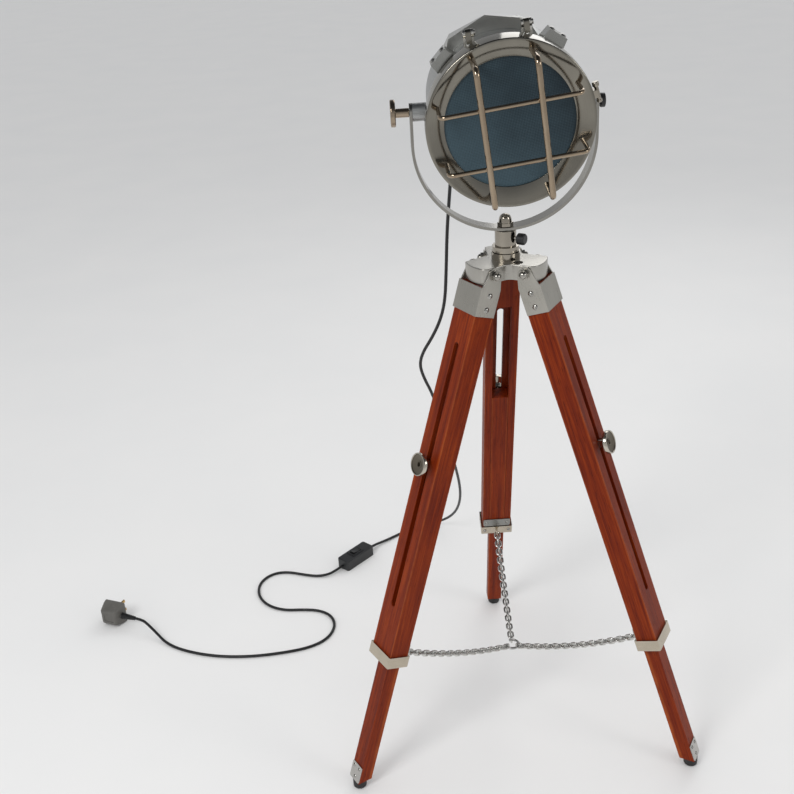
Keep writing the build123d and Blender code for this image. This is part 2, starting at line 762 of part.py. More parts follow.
cheek_place = knuckle_width / 2 + clear_gap + cheek_sheet / 2
cheek_root = drum_r - cheek_length
with BuildPart() as hinge_cheeks:
    for across in hinge_sides:
        for off in (-cheek_place, cheek_place):
            with BuildSketch(hinge_profile_plane(across + off)):
                with Locations((parting, hinge_height)):
                    Circle(hinge_eye_r)
                with BuildLine():
                    Polyline((parting - hinge_eye_r, hinge_height),
                             (parting - cheek_length, drum_r - drum_wall),
                             (parting - cheek_length, cheek_root), (parting - clear_gap, cheek_root),
                             (parting - clear_gap, hinge_height), close=True)
                make_face()
            extrude(amount=cheek_sheet / 2, both=True)
        with BuildSketch(hinge_profile_plane(across)):
            with Locations((parting - clear_gap - cheek_length / 2, cheek_root)):
                Rectangle(cheek_length, cheek_length, align=(Align.CENTER, Align.MIN))
        extrude(amount=cheek_place, both=True)
    with BuildSketch(head_plane.offset(drum_back)):
        Circle(drum_r)
    extrude(amount=rim_front - drum_back, mode=Mode.SUBTRACT)
    for across in hinge_sides:
        with BuildSketch(pin_plane(across)):
            Circle(hinge_pin_r)
        extrude(amount=knuckle_width, both=True, mode=Mode.SUBTRACT)
save(hinge_cheeks.part, "hinge_cheeks")

pin_half = cheek_place + cheek_sheet / 2
with BuildPart() as hinge_pins:
    for across in hinge_sides:
        with BuildSketch(pin_plane(across)):
            Circle(hinge_pin_r)
        extrude(amount=pin_half, both=True)
        with BuildSketch(pin_plane(across + pin_half)):
            Circle(hinge_pin_head_r)
        extrude(amount=hinge_pin_head)
save(hinge_pins.part, "hinge_pins")

# Door ring: an outer band, a sloping face inside the lip and a skirt for the glass
seat_height = rim_front - rim_recess - rim_sheet
skirt_r = glass_show_r + glass_seat
slope = rim_recess / (rim_r - rim_lip - glass_show_r)
skirt_top = seat_height + slope * (skirt_r + rim_sheet - glass_show_r)
skirt_end = seat_height - glass_thickness - retainer_height
round_middle = rim_round * (1 - cos(pi / 4))
guard_half = (guard_reach**2 - guard_pitch**2) ** 0.5
guard_root = rim_front - slope * (rim_r - rim_lip - guard_reach + upright_r) - rim_sheet
with BuildPart() as door_ring:
    with BuildSketch(head_section):
        with BuildLine():
            Line((rim_r, parting), (rim_r, rim_front - rim_round))
            ThreePointArc((rim_r, rim_front - rim_round), (rim_r - round_middle, rim_front - round_middle),
                          (rim_r - rim_round, rim_front))
            Polyline((rim_r - rim_round, rim_front), (rim_r - rim_lip, rim_front),
                     (glass_show_r, rim_front - rim_recess), (glass_show_r, seat_height),
                     (skirt_r, seat_height), (skirt_r, skirt_end), (skirt_r + rim_sheet, skirt_end),
                     (skirt_r + rim_sheet, skirt_top), (rim_r - rim_sheet, rim_front - rim_sheet),
                     (rim_r - rim_sheet, parting), (rim_r, parting))
        make_face()
    revolve(axis=head_axis)
    for across in hinge_sides:
        with BuildSketch(hinge_profile_plane(across)):
            with Locations((parting, hinge_height)):
                Circle(hinge_eye_r)
            with BuildLine():
                Polyline((parting, hinge_height + hinge_eye_r), (parting + hinge_eye_r, hinge_height),
                         (parting + hinge_eye_r, hinge_height - hinge_rise - hinge_eye_r),
                         (parting, hinge_height - hinge_rise - hinge_eye_r), close=True)
            make_face()
        extrude(amount=knuckle_width / 2, both=True)
        with BuildSketch(pin_plane(across)):
            Circle(hinge_pin_r + running_gap)
        extrude(amount=knuckle_width, both=True, mode=Mode.SUBTRACT)
    with BuildSketch(head_plane.offset(guard_root)):
        for pitch in (-guard_pitch, guard_pitch):
            with Locations((pitch, -guard_half), (pitch, guard_half)):
                Circle(upright_r)
            with Locations((-guard_half, pitch), (guard_half, pitch)):
                Circle(crossbar_r)
    extrude(amount=guard_stand, mode=Mode.SUBTRACT)
save(door_ring.part, "door_ring")

# Guard: two uprights in front of two crossbars, their ends bent back through the ring's face
guard_front = rim_front + guard_stand
crossbar_front = guard_front - upright_r - crossbar_r + weld_depth


def guard_rod(across, along, front, rod_r):
    """One rod with both ends bent back. across and along are directions on the ring's face."""
    corners = []
    for side, height in ((-1, guard_root), (-1, front), (1, front), (1, guard_root)):
        spot = across * guard_pitch + along * (side * guard_half)
        corners.append(place(head_plane, spot.X, spot.Y, height))
    with BuildPart() as rod:
        with BuildLine() as path:
            FilletPolyline(*corners, radius=guard_bend)
        with BuildSketch(Plane(origin=corners[0], z_dir=head_forward)):
            Circle(rod_r)
        sweep(path=path.wires()[0])
    return rod.part


with BuildPart() as guard_grille:
    for side in (-1, 1):
        add(guard_rod(Vector(side, 0, 0), Vector(0, 1, 0), guard_front, upright_r))
        add(guard_rod(Vector(0, side, 0), Vector(1, 0, 0), crossbar_front, crossbar_r))
save(guard_grille.part, "guard_grille")

# Glass in the ring's skirt, held by a ring behind it
with BuildPart() as lens_glass:
    with BuildSketch(head_plane.offset(seat_height - glass_thickness)):
        Circle(skirt_r - clear_gap)
    extrude(amount=glass_thickness)
    chamfer(lens_glass.edges().filter_by(GeomType.CIRCLE), glass_bevel)
save(lens_glass.part, "lens_glass")

with BuildPart() as lens_retainer:
    with BuildSketch(head_plane.offset(skirt_end)):
        Circle(skirt_r)
        Circle(skirt_r - retainer_width, mode=Mode.SUBTRACT)
    extrude(amount=retainer_height)
save(lens_retainer.part, "lens_retainer")

# Chain hook: an open wire ring in the middle of the tripod, with its gap to the left
hook_centre = Vector(0, axis_y, hook_height)
hook_start = radians(hook_gap_azimuth + hook_gap_angle / 2)
hook_out = Vector(cos(hook_start), sin(hook_start), 0)
hook_end = hook_centre + hook_out * hook_r
hook_section = Plane(origin=hook_end, x_dir=hook_out, z_dir=Vector(0, 0, 1).cross(hook_out))
with BuildPart() as chain_hook:
    with BuildSketch(hook_section):
        Circle(hook_wire_r)
    revolve(axis=Axis(hook_centre, (0, 0, 1)), revolution_arc=360 - hook_gap_angle)
save(chain_hook.part, "chain_hook")


def chain_path(start, end, samples=200):
    """Points along a chain that sags a little between its two ends, and the length up to each."""
    points = []
    for step in range(samples + 1):
        share = step / samples
        sag = Vector(0, 0, -4 * chain_sag * share * (1 - share))
        points.append(start + (end - start) * share + sag)
    lengths = [0.0]
    for before, after in zip(points, points[1:]):
        lengths.append(lengths[-1] + (after - before).length)
    return points, lengths


def link_planes(start, end, sideways):
    """Planes of a chain's links, with x along the chain. Every second link stands upright."""
    points, lengths = chain_path(start, end)
    first = link_length / 2 - staple_wire_r - link_play / 2
    last = lengths[-1] - (link_length / 2 - hook_wire_r - link_play / 2)
    count = 2 * ceil(((last - first) / (link_length - link_play) + 1) / 2)
    planes = []
    for index in range(count):
        reach = first + index * (last - first) / (count - 1)
        after = next(i for i, length in enumerate(lengths) if length >= reach)
        step = points[after] - points[after - 1]
        share = (reach - lengths[after - 1]) / step.length
        normal = step.cross(sideways) if index % 2 == 0 else sideways
        planes.append(Plane(origin=points[after - 1] + step * share, x_dir=step, z_dir=normal))
    return planes


def build_chain(azimuth, start):
    """One leg's chain, from the staple of its collar to the hook."""
    radial = Vector(cos(radians(azimuth)), sin(radians(azimuth)), 0)
    bow_r = link_width / 2 + link_wire_r
    half = (link_length - link_width) / 2
    with BuildPart() as chain:
        for plane in link_planes(start, hook_centre + radial * hook_r, Vector(-radial.Y, radial.X, 0)):
            with BuildLine(plane) as loop:
                Line((-half, -bow_r), (half, -bow_r))
                ThreePointArc((half, -bow_r), (half + bow_r, 0), (half, bow_r))
                Line((half, bow_r), (-half, bow_r))
                ThreePointArc((-half, bow_r), (-half - bow_r, 0), (-half, -bow_r))
            with BuildSketch(Plane(origin=place(plane, -half, -bow_r, 0), z_dir=plane.x_dir)):
                Circle(link_wire_r)
            sweep(path=loop.wires()[0])
    return chain.part


for side, azimuth in leg_azimuths.items():
    save(build_chain(azimuth, staple_points[side]), f"chain_{side}")

# Cord from the gland down to the floor and along it to the switch, and from the switch to the plug
gland_end = place(head_plane, *gland_place, dish_back - gland_length - gland_nose)
switch_along = Vector(*switch_heading, 0).normalized()
switch_in = Vector(*switch_centre, switch_cord_height) - switch_along * (switch_length / 2)
switch_out = Vector(*switch_centre, switch_cord_height) + switch_along * (switch_length / 2)
plug_along = Vector(*plug_heading, 0).normalized()
plug_sleeve_end = Vector(*plug_start, plug_width / 2)

upper_points = [
    gland_end, gland_end - head_forward * cord_lead, (-63, 82, 1127), (-66, 96, 1101), (-71, 100, 1058),
    (-77, 99, 1003), (-83, 102, 943), (-87, 109, 866), (-91, 116, 804), (-101, 124, 762), (-118, 134, 723),
    (-137, 145, 689), (-144, 157, 657), (-136, 171, 622), (-121, 192, 578), (-108, 222, 522), (-95, 264, 450),
    (-81, 309, 375), (-69, 352, 305), (-60, 395, 242), (-56, 444, 176), (-61, 500, 110), (-76, 556, 54),
    (-102, 594, 18), (-139, 606, cord_r), (-180, 590, cord_r), (-218, 562, cord_r), (-249, 536, 6),
    switch_in - switch_along * cord_lead, switch_in,
]
lower_points = [
    switch_out, switch_out + switch_along * cord_lead,
    (-383, 409, 6), (-412, 408, cord_r), (-446, 419, cord_r),
    (-480, 433, cord_r), (-512, 434, cord_r), (-538, 416, cord_r), (-552, 384, cord_r), (-548, 341, cord_r),
    (-524, 303, cord_r), (-485, 281, cord_r), (-442, 279, cord_r), (-402, 272, cord_r), (-373, 248, cord_r),
    (-364, 208, cord_r), (-381, 165, cord_r), (-421, 139, cord_r), (-482, 127, cord_r), (-552, 122, cord_r),
    (-627, 131, cord_r), (-698, 157, cord_r), (-743, 188, cord_r), (-768, 216, 12), (-790, 238, 21),
    plug_sleeve_end - plug_along * cord_lead, plug_sleeve_end,
]


def build_cord(points, label):
    """A round cord along straight runs joined by bends, each bend as large as its two runs allow."""
    spots = [Vector(*point) for point in points]
    runs = [after - before for before, after in zip(spots, spots[1:])]
    radii = []
    for run_in, run_out in zip(runs, runs[1:]):
        turn = radians(run_in.get_angle(run_out))
        radii.append(bend_share * min(run_in.length, run_out.length) / tan(turn / 2))
    with BuildPart() as cord:
        with BuildLine() as route:
            FilletPolyline(*spots, radius=radii)
        with BuildSketch(Plane(origin=spots[0], z_dir=runs[0])):
            Circle(cord_r)
        sweep(path=route.wires()[0])
    length = route.wires()[0].length
    print(label, "bend radii", [round(radius) for radius in radii])
    print(label, "runs", [round(run.length) for run in runs])
    print(label, "length", round(length), "filled", round(cord.part.volume / (pi * cord_r**2 * length), 4))
    save(cord.part, label)


build_cord(upper_points, "cord_upper")
build_cord(lower_points, "cord_lower")

# In-line switch: a case with a well, and a rocker on an axle in it
switch_plane = Plane(origin=Vector(*switch_centre, 0), x_dir=switch_along, z_dir=(0, 0, 1))
axle_point = place(switch_plane, 0, 0, switch_height - rocker_depth)
axle_plane = Plane(origin=axle_point, z_dir=switch_plane.y_dir)
axle_half = rocker_width / 2 + rocker_axle_bearing
with BuildPart() as switch_case:
    with BuildSketch(switch_plane):
        RectangleRounded(switch_length, switch_width, switch_edge)
    extrude(amount=switch_height)
    fillet(switch_case.faces().sort_by(Axis.Z)[-1].edges(), switch_edge / 2)
    with BuildSketch(switch_plane.offset(switch_height)):
        Rectangle(rocker_length, rocker_width)
    extrude(amount=-rocker_length / 2, mode=Mode.SUBTRACT)
    with BuildSketch(axle_plane):
        Circle(rocker_axle_r + running_gap)
    extrude(amount=axle_half, both=True, mode=Mode.SUBTRACT)
save(switch_case.part, "switch_case")

rocker_along = switch_along * cos(radians(rocker_tilt)) + Vector(0, 0, sin(radians(rocker_tilt)))
rocker_plane = Plane(origin=axle_point, x_dir=rocker_along, z_dir=-switch_plane.y_dir)
rocker_half = rocker_length / 2 - rocker_end_gap
rocker_top = rocker_depth + rocker_rise
with BuildPart() as switch_rocker:
    with BuildSketch(rocker_plane):
        with BuildLine():
            Polyline((-rocker_half, 0), (-rocker_half / 2, -rocker_rise), (rocker_half / 2, -rocker_rise),
                     (rocker_half, 0), (rocker_half, rocker_top), (0, rocker_top - rocker_dip),
                     (-rocker_half, rocker_top), close=True)
        make_face()
    extrude(amount=rocker_width / 2 - clear_gap, both=True)
    with BuildSketch(axle_plane):
        Circle(rocker_axle_r)
    extrude(amount=axle_half - clear_gap, both=True)
save(switch_rocker.part, "switch_rocker")

# Plug lying on its side: flange, tapered back, sleeve and three pins
plug_face = plug_along.cross(Vector(0, 0, 1))
plug_front = plug_sleeve_end + plug_along * plug_sleeve_length
plug_plane = Plane(origin=plug_front, x_dir=plug_along, z_dir=plug_face)
flange_plane = plug_plane.offset(plug_depth / 2 - plug_flange)
with BuildPart() as plug_body:
    with BuildSketch(flange_plane):
        with Locations((plug_length / 2, 0)):
            RectangleRounded(plug_length, plug_width, plug_edge)
    extrude(amount=plug_flange)
    with BuildSketch(flange_plane):
        with Locations((plug_length / 2, 0)):
            RectangleRounded(plug_length, plug_width, plug_edge)
    extrude(amount=-(plug_depth - plug_flange), taper=plug_taper)
    with BuildSketch(Plane(origin=plug_sleeve_end, z_dir=plug_along)):
        Circle(plug_sleeve_r)
    extrude(amount=plug_sleeve_length + plug_length / 2)
save(plug_body.part, "plug_body")

with BuildPart() as plug_pins:
    with BuildSketch(plug_plane.offset(plug_depth / 2)):
        with Locations((pin_row_place, -pin_spacing / 2), (pin_row_place, pin_spacing / 2)):
            Rectangle(pin_blade_thickness, pin_blade_width)
        with Locations((pin_row_place + pin_spacing, 0)):
            Rectangle(earth_pin_width, pin_blade_thickness)
    extrude(amount=pin_length)
save(plug_pins.part, "plug_pins")
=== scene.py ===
import json
from math import atan2, cos, pi, radians, sin

import bmesh
import bpy
from mathutils import Matrix, Vector

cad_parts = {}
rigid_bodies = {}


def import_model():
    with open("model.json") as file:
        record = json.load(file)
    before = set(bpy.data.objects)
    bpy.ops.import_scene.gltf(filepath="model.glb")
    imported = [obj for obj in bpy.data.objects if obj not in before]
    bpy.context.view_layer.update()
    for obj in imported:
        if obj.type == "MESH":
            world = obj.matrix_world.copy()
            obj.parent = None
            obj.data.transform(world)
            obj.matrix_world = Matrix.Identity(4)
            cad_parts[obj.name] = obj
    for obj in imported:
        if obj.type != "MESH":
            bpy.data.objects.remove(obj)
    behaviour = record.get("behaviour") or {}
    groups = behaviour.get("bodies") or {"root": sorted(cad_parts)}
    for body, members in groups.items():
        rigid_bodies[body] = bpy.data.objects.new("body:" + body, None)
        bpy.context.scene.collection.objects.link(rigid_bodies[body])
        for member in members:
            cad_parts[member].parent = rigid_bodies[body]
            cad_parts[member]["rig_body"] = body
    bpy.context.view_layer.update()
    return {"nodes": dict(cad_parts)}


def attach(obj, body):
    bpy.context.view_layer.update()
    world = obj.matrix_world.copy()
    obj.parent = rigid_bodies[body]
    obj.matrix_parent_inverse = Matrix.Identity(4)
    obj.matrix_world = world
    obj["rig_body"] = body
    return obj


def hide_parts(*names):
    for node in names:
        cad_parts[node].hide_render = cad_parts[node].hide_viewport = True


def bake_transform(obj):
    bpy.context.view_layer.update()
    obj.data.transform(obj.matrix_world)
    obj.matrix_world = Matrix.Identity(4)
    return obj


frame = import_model()
scene = bpy.context.scene
scene.view_settings.view_transform = "Standard"


# View: a standing person looks down on the lamp through a normal lens, from in front of it
# and a little to its left, with the camera held not quite level.
def placed(origin, x_way, y_way, z_way):
    """The frame of something that stands at an origin, from the ways that its axes point."""
    return Matrix.Translation(origin) @ Matrix((x_way, y_way, z_way)).transposed().to_4x4()


eye = Vector((-0.1972, -1.8027, 1.5421))
turned_by, dipped_by, rolled_by = radians(0.15), radians(25.88), radians(-3.75)
focal_length_by_width = 1100 / 794
ahead = Vector((sin(turned_by) * cos(dipped_by), cos(turned_by) * cos(dipped_by),
                -sin(dipped_by)))
level = Vector((cos(turned_by), -sin(turned_by), 0))
above = level.cross(ahead)
across = level * cos(rolled_by) + above * sin(rolled_by)
upward = above * cos(rolled_by) - level * sin(rolled_by)
camera = bpy.data.objects.new("camera", bpy.data.cameras.new("camera"))
camera.data.lens = camera.data.sensor_width * focal_length_by_width
camera.matrix_world = placed(eye, across, upward, -ahead)
scene.collection.objects.link(camera)
scene.camera = camera


# Studio: a pale seamless floor under a pale sky that darkens overhead, with a large soft lamp at
# the upper left, a weaker one at the right and one behind.
class Tone:
    """A socket among a finish's nodes. Sums on it and its methods add the nodes that follow."""

    def __init__(self, tree, socket=None):
        self.tree = tree
        self.socket = socket

    def node(self, kind, settings=None, sockets=None, out=0):
        """Adds a node with its settings, and its sockets as values or as tones to link."""
        made = self.tree.nodes.new("ShaderNode" + kind)
        for key, value in (settings or {}).items():
            setattr(made, key, value)
        for key, value in (sockets or {}).items():
            if isinstance(value, Tone):
                self.tree.links.new(value.socket, made.inputs[key])
            else:
                made.inputs[key].default_value = value
        return Tone(self.tree, made.outputs[out])

    def maths(self, operation, first, second=0.0):
        """Arithmetic on one or two tones or numbers."""
        return self.node("Math", {"operation": operation}, {0: first, 1: second})

    def __add__(self, other):
        return self.maths("ADD", self, other)

    __radd__ = __add__

    def __sub__(self, other):
        return self.maths("SUBTRACT", self, other)

    def __mul__(self, other):
        return self.maths("MULTIPLY", self, other)

    def along(self, axis):
        """One coordinate of a place."""
        return self.node("SeparateXYZ", {}, {"Vector": self}, axis)

    def mapped(self, location=(0, 0, 0), turn=(0, 0, 0), stretch=(1, 1, 1)):
        """A place as seen from a frame of its own, with what is drawn there stretched."""
        return self.node("Mapping", {"vector_type": "TEXTURE"}, {
            "Vector": self, "Location": location, "Rotation": turn, "Scale": stretch})

    def cloud(self, size, detail=3.0, distortion=0.0):
        """Soft random patches of about that size over a place, from 0 to 1."""
        return self.node("TexNoise", {}, {
            "Vector": self, "Scale": 1 / size, "Detail": detail, "Distortion": distortion})

    def rising(self, low, high, curve="LINEAR"):
        """0 up to a low value, then rising to 1 at a high one."""
        return self.node("MapRange", {"interpolation_type": curve}, {
            "Value": self, "From Min": low, "From Max": high})

    def tint(self, first, second):
        """One colour passing into another by this share."""
        return self.node("Mix", {"data_type": "RGBA"}, {0: self, 6: first, 7: second}, 2)

    def ramp(self, stops):
        """The colour at this share of a row of colours, each given with its place."""
        made = self.node("ValToRGB", {}, {0: self})
        elements = made.socket.node.color_ramp.elements
        while len(elements) < len(stops):
            elements.new(1.0)
        for element, (place, colour) in zip(elements, stops):
            element.position = place
            element.color = colour
        return made

    def bump(self, strength, distance, inverted=False):
        """The surface normal with this tone as its relief."""
        return self.node("Bump", {"invert": inverted}, {
            "Strength": strength, "Distance": distance, "Height": self})

    def into(self, shader, name):
        """Links this tone to a socket of a shader."""
        self.tree.links.new(self.socket, shader.inputs[name])


def paint(red, green, blue):
    """A colour from a paint chart, 0 to 255 each, as linear light."""
    return tuple(((c / 255 + 0.055) / 1.055) ** 2.4 for c in (red, green, blue)) + (1.0,)


def new_finish(name):
    """An empty finish: the material, its shader, and the place on the piece as a tone."""
    material = bpy.data.materials.new(name)
    material.use_nodes = True
    here = Tone(material.node_tree).node("TexCoord", out="Object")
    return material, material.node_tree.nodes["Principled BSDF"], here


floor_finish, floor_shader, floor_place = new_finish("pale_floor")
floor_colour = floor_place.cloud(0.35).tint(paint(228, 228, 227), paint(234, 233, 231))
floor_colour.into(floor_shader, "Base Color")
floor_shader.inputs["Roughness"].default_value = 0.75
floor_shape = bmesh.new()
bmesh.ops.create_circle(floor_shape, cap_ends=True, segments=96, radius=40)
floor_mesh = bpy.data.meshes.new("floor")
floor_shape.to_mesh(floor_mesh)
floor_shape.free()
floor = bpy.data.objects.new("floor", floor_mesh)
floor_mesh.materials.append(floor_finish)
scene.collection.objects.link(floor)

sky = bpy.data.worlds.new("sky")
sky.use_nodes = True
scene.world = sky
sky_rise = Tone(sky.node_tree).node("TexCoord", out="Generated").along("Z")
sky_seen = sky_rise.ramp([
    (0.0, paint(202, 202, 201)), (0.1, paint(200, 201, 202)), (0.45, paint(158, 160, 163)),
    (0.7, paint(88, 90, 94)), (1.0, paint(52, 54, 58))])
rays = sky.node_tree.nodes.new("ShaderNodeLightPath").outputs
sky_shows = (Tone(sky.node_tree, rays["Is Camera Ray"])
             + Tone(sky.node_tree, rays["Is Glossy Ray"])
             + Tone(sky.node_tree, rays["Is Transmission Ray"]))
sky_colour = sky_shows.tint(paint(222, 223, 225), sky_seen)
sky_colour.into(sky.node_tree.nodes["Background"], "Color")

lamp_aim = Vector((0, -0.09, 0.75))
for lamp_name, lamp_place, lamp_size, lamp_power in (
        ("soft_lamp_left", (-1.9, -2.1, 2.9), 1.2, 44),
        ("soft_lamp_right", (2.3, -1.5, 1.9), 0.9, 10),
        ("soft_lamp_behind", (0.9, 2.2, 2.5), 1.6, 14)):
    lamp = bpy.data.objects.new(lamp_name, bpy.data.lights.new(lamp_name, "AREA"))
    lamp.data.size = lamp_size
    lamp.data.energy = lamp_power
    lamp.location = lamp_place
    lamp.rotation_euler = (lamp_aim - lamp.location).to_track_quat("-Z", "Y").to_euler()
    scene.collection.objects.link(lamp)


# Tripod plate: a thick three-lobed plate of nickel-plated cast metal that carries the legs.
# It is brushed to a satin, with its edges lightly rounded. The legs hang on its lobes.
def merged_copy(node):
    """A node's solid as one joined shape."""
    shape = bmesh.new()
    shape.from_mesh(frame["nodes"][node].data)
    bmesh.ops.remove_doubles(shape, verts=shape.verts, dist=2e-6)
    return shape


def new_piece(name, shape, edge=0.0, angle=32):
    """Makes a piece from its shape, smooth, with its edges broken by that much."""
    mesh = bpy.data.meshes.new(name)
    shape.to_mesh(mesh)
    shape.free()
    if "custom_normal" in mesh.attributes:
        mesh.attributes.remove(mesh.attributes["custom_normal"])
    mesh.shade_smooth()
    piece = bpy.data.objects.new(name, mesh)
    scene.collection.objects.link(piece)
    if edge:
        rounding = piece.modifiers.new("broken_edges", "BEVEL")
        rounding.width = edge
        rounding.segments = 3
        rounding.limit_method = "ANGLE"
        rounding.angle_limit = radians(angle)
        rounding.harden_normals = True
    else:
        mesh.set_sharp_from_angle(angle=radians(angle))
    return piece


def coat(piece, finish):
    """Gives a piece one finish all over."""
    piece.data.materials.clear()
    piece.data.materials.append(finish)


def fit(piece, node, finish):
    """Gives a piece its finish and lets it ride where a node does."""
    coat(piece, finish)
    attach(piece, frame["nodes"][node]["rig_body"])
    return piece


def stand_in(node, shape, finish, edge=0.0, angle=32):
    """Makes the piece that stands for a node from its shape."""
    piece = new_piece(node + "_piece", shape, edge, angle)
    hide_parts(node)
    return fit(piece, node, finish)


def soften(node, edge, finish):
    """Makes the piece that stands for a machined solid, its sharp edges broken by that much."""
    shape = merged_copy(node)
    bmesh.ops.dissolve_limit(shape, angle_limit=radians(0.3), verts=shape.verts, edges=shape.edges)
    return stand_in(node, shape, finish, edge)


def bright_metal(name, colour, shade, roughness, lines, stretch=(1, 1, 1), place=Matrix(),
                 rings=False):
    """Polished or brushed metal: smudged, with fine lines along one way or round an axis."""
    smudge_size, line_size, line_depth = 0.045, 0.0011, 0.0002
    finish, shader, here = new_finish(name)
    own = here.mapped(place.translation, place.to_euler())
    if rings:
        own_x, own_y = own.along("X"), own.along("Y")
        from_axis = own.maths("SQRT", own_x * own_x + own_y * own_y)
        line_place = own.node("CombineXYZ", {}, {"X": from_axis})
    else:
        line_place = own.mapped(stretch=stretch)
    smudge = here.cloud(smudge_size, 4.0)
    fine = line_place.cloud(line_size, 2.0)
    (smudge * 0.6 + fine * 0.4).tint(shade, colour).into(shader, "Base Color")
    (roughness + smudge * 0.07 + fine * lines).into(shader, "Roughness")
    fine.bump(lines, line_depth).into(shader, "Normal")
    shader.inputs["Metallic"].default_value = 1.0
    return finish


plate_finish = bright_metal("satin_plate", paint(198, 195, 188), paint(156, 153, 146),
                            roughness=0.2, lines=0.14, stretch=(14, 1, 1))
soften("tripod_plate", 0.0008, plate_finish)

# Pivot bolts: plated steel bolts through the ears of the leg caps and the lobes of the plate,
# with a washer and a domed nut at each end.
axis_y, pivot_height, pivot_radius, foot_radius = -0.089162, 0.938, 0.045, 0.365
lean = atan2(foot_radius - pivot_radius, pivot_height)
leg_places = {}
for side, azimuth in (("rear", 90), ("left", 210), ("right", 330)):
    outward = Vector((cos(radians(azimuth)), sin(radians(azimuth)), 0))
    leg_up = Vector((0, 0, cos(lean))) - outward * sin(lean)
    leg_out = outward * cos(lean) + Vector((0, 0, sin(lean)))
    pivot = Vector((0, axis_y, pivot_height)) + outward * pivot_radius
    leg_places[side] = placed(pivot, leg_up.cross(leg_out), leg_up, leg_out)


def turned(shape, outline, place, steps, closed=False):
    """Adds a turned body to a shape: radii and heights spun about the z axis of a place."""
    verts = [shape.verts.new(place @ Vector((radius, 0, height))) for radius, height in outline]
    pairs = list(zip(verts, verts[1:] + verts[:1]))
    edges = [shape.edges.new(pair) for pair in (pairs if closed else pairs[:-1])]
    bmesh.ops.spin(shape, geom=verts + edges, cent=place.translation, axis=place.to_3x3().col[2],
                   angle=radians(360), steps=steps, use_merge=True)


def closed_up(shape):
    """Joins what a shape's bodies share at their seams and poles, and turns its faces outwards."""
    bmesh.ops.remove_doubles(shape, verts=shape.verts, dist=1e-6)
    bmesh.ops.recalc_face_normals(shape, faces=shape.faces)
    return shape


bolt_half, shank_r, washer_r, hexagon_r, dome_r = 0.0315, 0.004, 0.0098, 0.0086, 0.0066
shank_gap, washer_top, hexagon_top, dome_height = 0.0002, 0.0014, 0.0058, 0.0058
shank_end = shank_gap - bolt_half
shank_outline = [(0, shank_end), (shank_r, shank_end), (shank_r, 0), (washer_r, 0),
                 (washer_r, washer_top), (0, washer_top)]
hexagon_outline = [(0, washer_top), (hexagon_r, washer_top), (hexagon_r, hexagon_top),
                   (0, hexagon_top)]
dome_outline = [(0, hexagon_top)] + [
    (dome_r * cos(a * pi / 16), hexagon_top + dome_height * sin(a * pi / 16)) for a in range(9)]
bolt_shape = bmesh.new()
for leg in leg_places.values():
    for quarter in (90, -90):
        bolt_turn = Matrix.Rotation(radians(quarter), 4, "Y")
        bolt_end = leg @ bolt_turn @ Matrix.Translation((0, 0, bolt_half))
        turned(bolt_shape, shank_outline, bolt_end, steps=40)
        turned(bolt_shape, hexagon_outline, bolt_end, steps=6)
        turned(bolt_shape, dome_outline, bolt_end, steps=40)
bolt_finish = bright_metal("plated_bolts", paint(190, 187, 180), paint(132, 129, 122),
                           roughness=0.08, lines=0.05)
stand_in("leg_pivot_bolts", closed_up(bolt_shape), bolt_finish, edge=0.0004)

# Post: a turned and polished nickel-plated tube on the plate, with two rings at its foot.
# The yoke's spigot turns inside it.
nickel = bright_metal("polished_nickel", paint(184, 177, 165), paint(136, 129, 118),
                      roughness=0.06, lines=0.04)
soften("post", 0.0009, nickel)


# Legs: each upper leg is a mahogany channel with a long slot in its outer board, finished with
# satin varnish. The inner leg of the same wood slides in it. The grain runs along the leg.
def mahogany(name, leg, shift, half_width, half_depth):
    """Varnished mahogany in a leg's own frame: ribbons, fibres, pores and paler long edges."""
    worn_edge = 0.003
    finish, shader, here = new_finish(name)
    board = here.mapped(leg.translation, leg.to_euler())
    ribbon = board.mapped((shift, shift, 0), stretch=(1, 22, 1)).cloud(0.011, 3.0, 0.5)
    fibre = board.mapped((0, shift, shift), stretch=(1, 45, 1)).cloud(0.0021)
    pores = board.mapped(stretch=(1, 20, 1)).cloud(0.0011, 2.0).rising(0.6, 0.72, "SMOOTHSTEP")
    drift = board.cloud(0.16, 2.0)
    figure = (ribbon * 0.32 + fibre * 0.48 + drift * 0.2).ramp([
        (0.28, paint(72, 16, 1)), (0.45, paint(106, 31, 3)), (0.58, paint(130, 46, 6)),
        (0.74, paint(154, 68, 16))])
    streaked = (pores * 0.6).tint(figure, paint(46, 9, 1))
    from_middle = board.node("VectorMath", {"operation": "ABSOLUTE"}, {0: board})
    near_side = from_middle.along("X").rising(half_width - worn_edge, half_width)
    near_face = from_middle.along("Z").rising(half_depth - worn_edge, half_depth)
    worn = near_side * near_face * board.cloud(0.02, 4.0)
    (worn * 0.8).tint(streaked, paint(172, 88, 40)).into(shader, "Base Color")
    (0.4 + fibre * 0.16 + pores * 0.2).into(shader, "Roughness")
    (pores * 0.7 + fibre * 0.3).bump(0.35, 0.0003, inverted=True).into(shader, "Normal")
    shader.inputs["Specular IOR Level"].default_value = 0.12
    shader.inputs["Coat Weight"].default_value = 0.05
    shader.inputs["Coat Roughness"].default_value = 0.2
    return finish


channel_half, inner_half, wood_edge = (0.029, 0.0185), (0.0152, 0.0132), 0.0011
leg_shift, inner_shift = 0.7, 0.3
for number, (side, leg) in enumerate(leg_places.items()):
    shift = leg_shift * number
    channel_wood = mahogany(f"mahogany_{side}", leg, shift, *channel_half)
    soften(f"leg_channel_{side}", wood_edge, channel_wood)
    inner_wood = mahogany(f"inner_mahogany_{side}", leg, shift + inner_shift, *inner_half)
    soften(f"inner_leg_{side}", wood_edge, inner_wood)


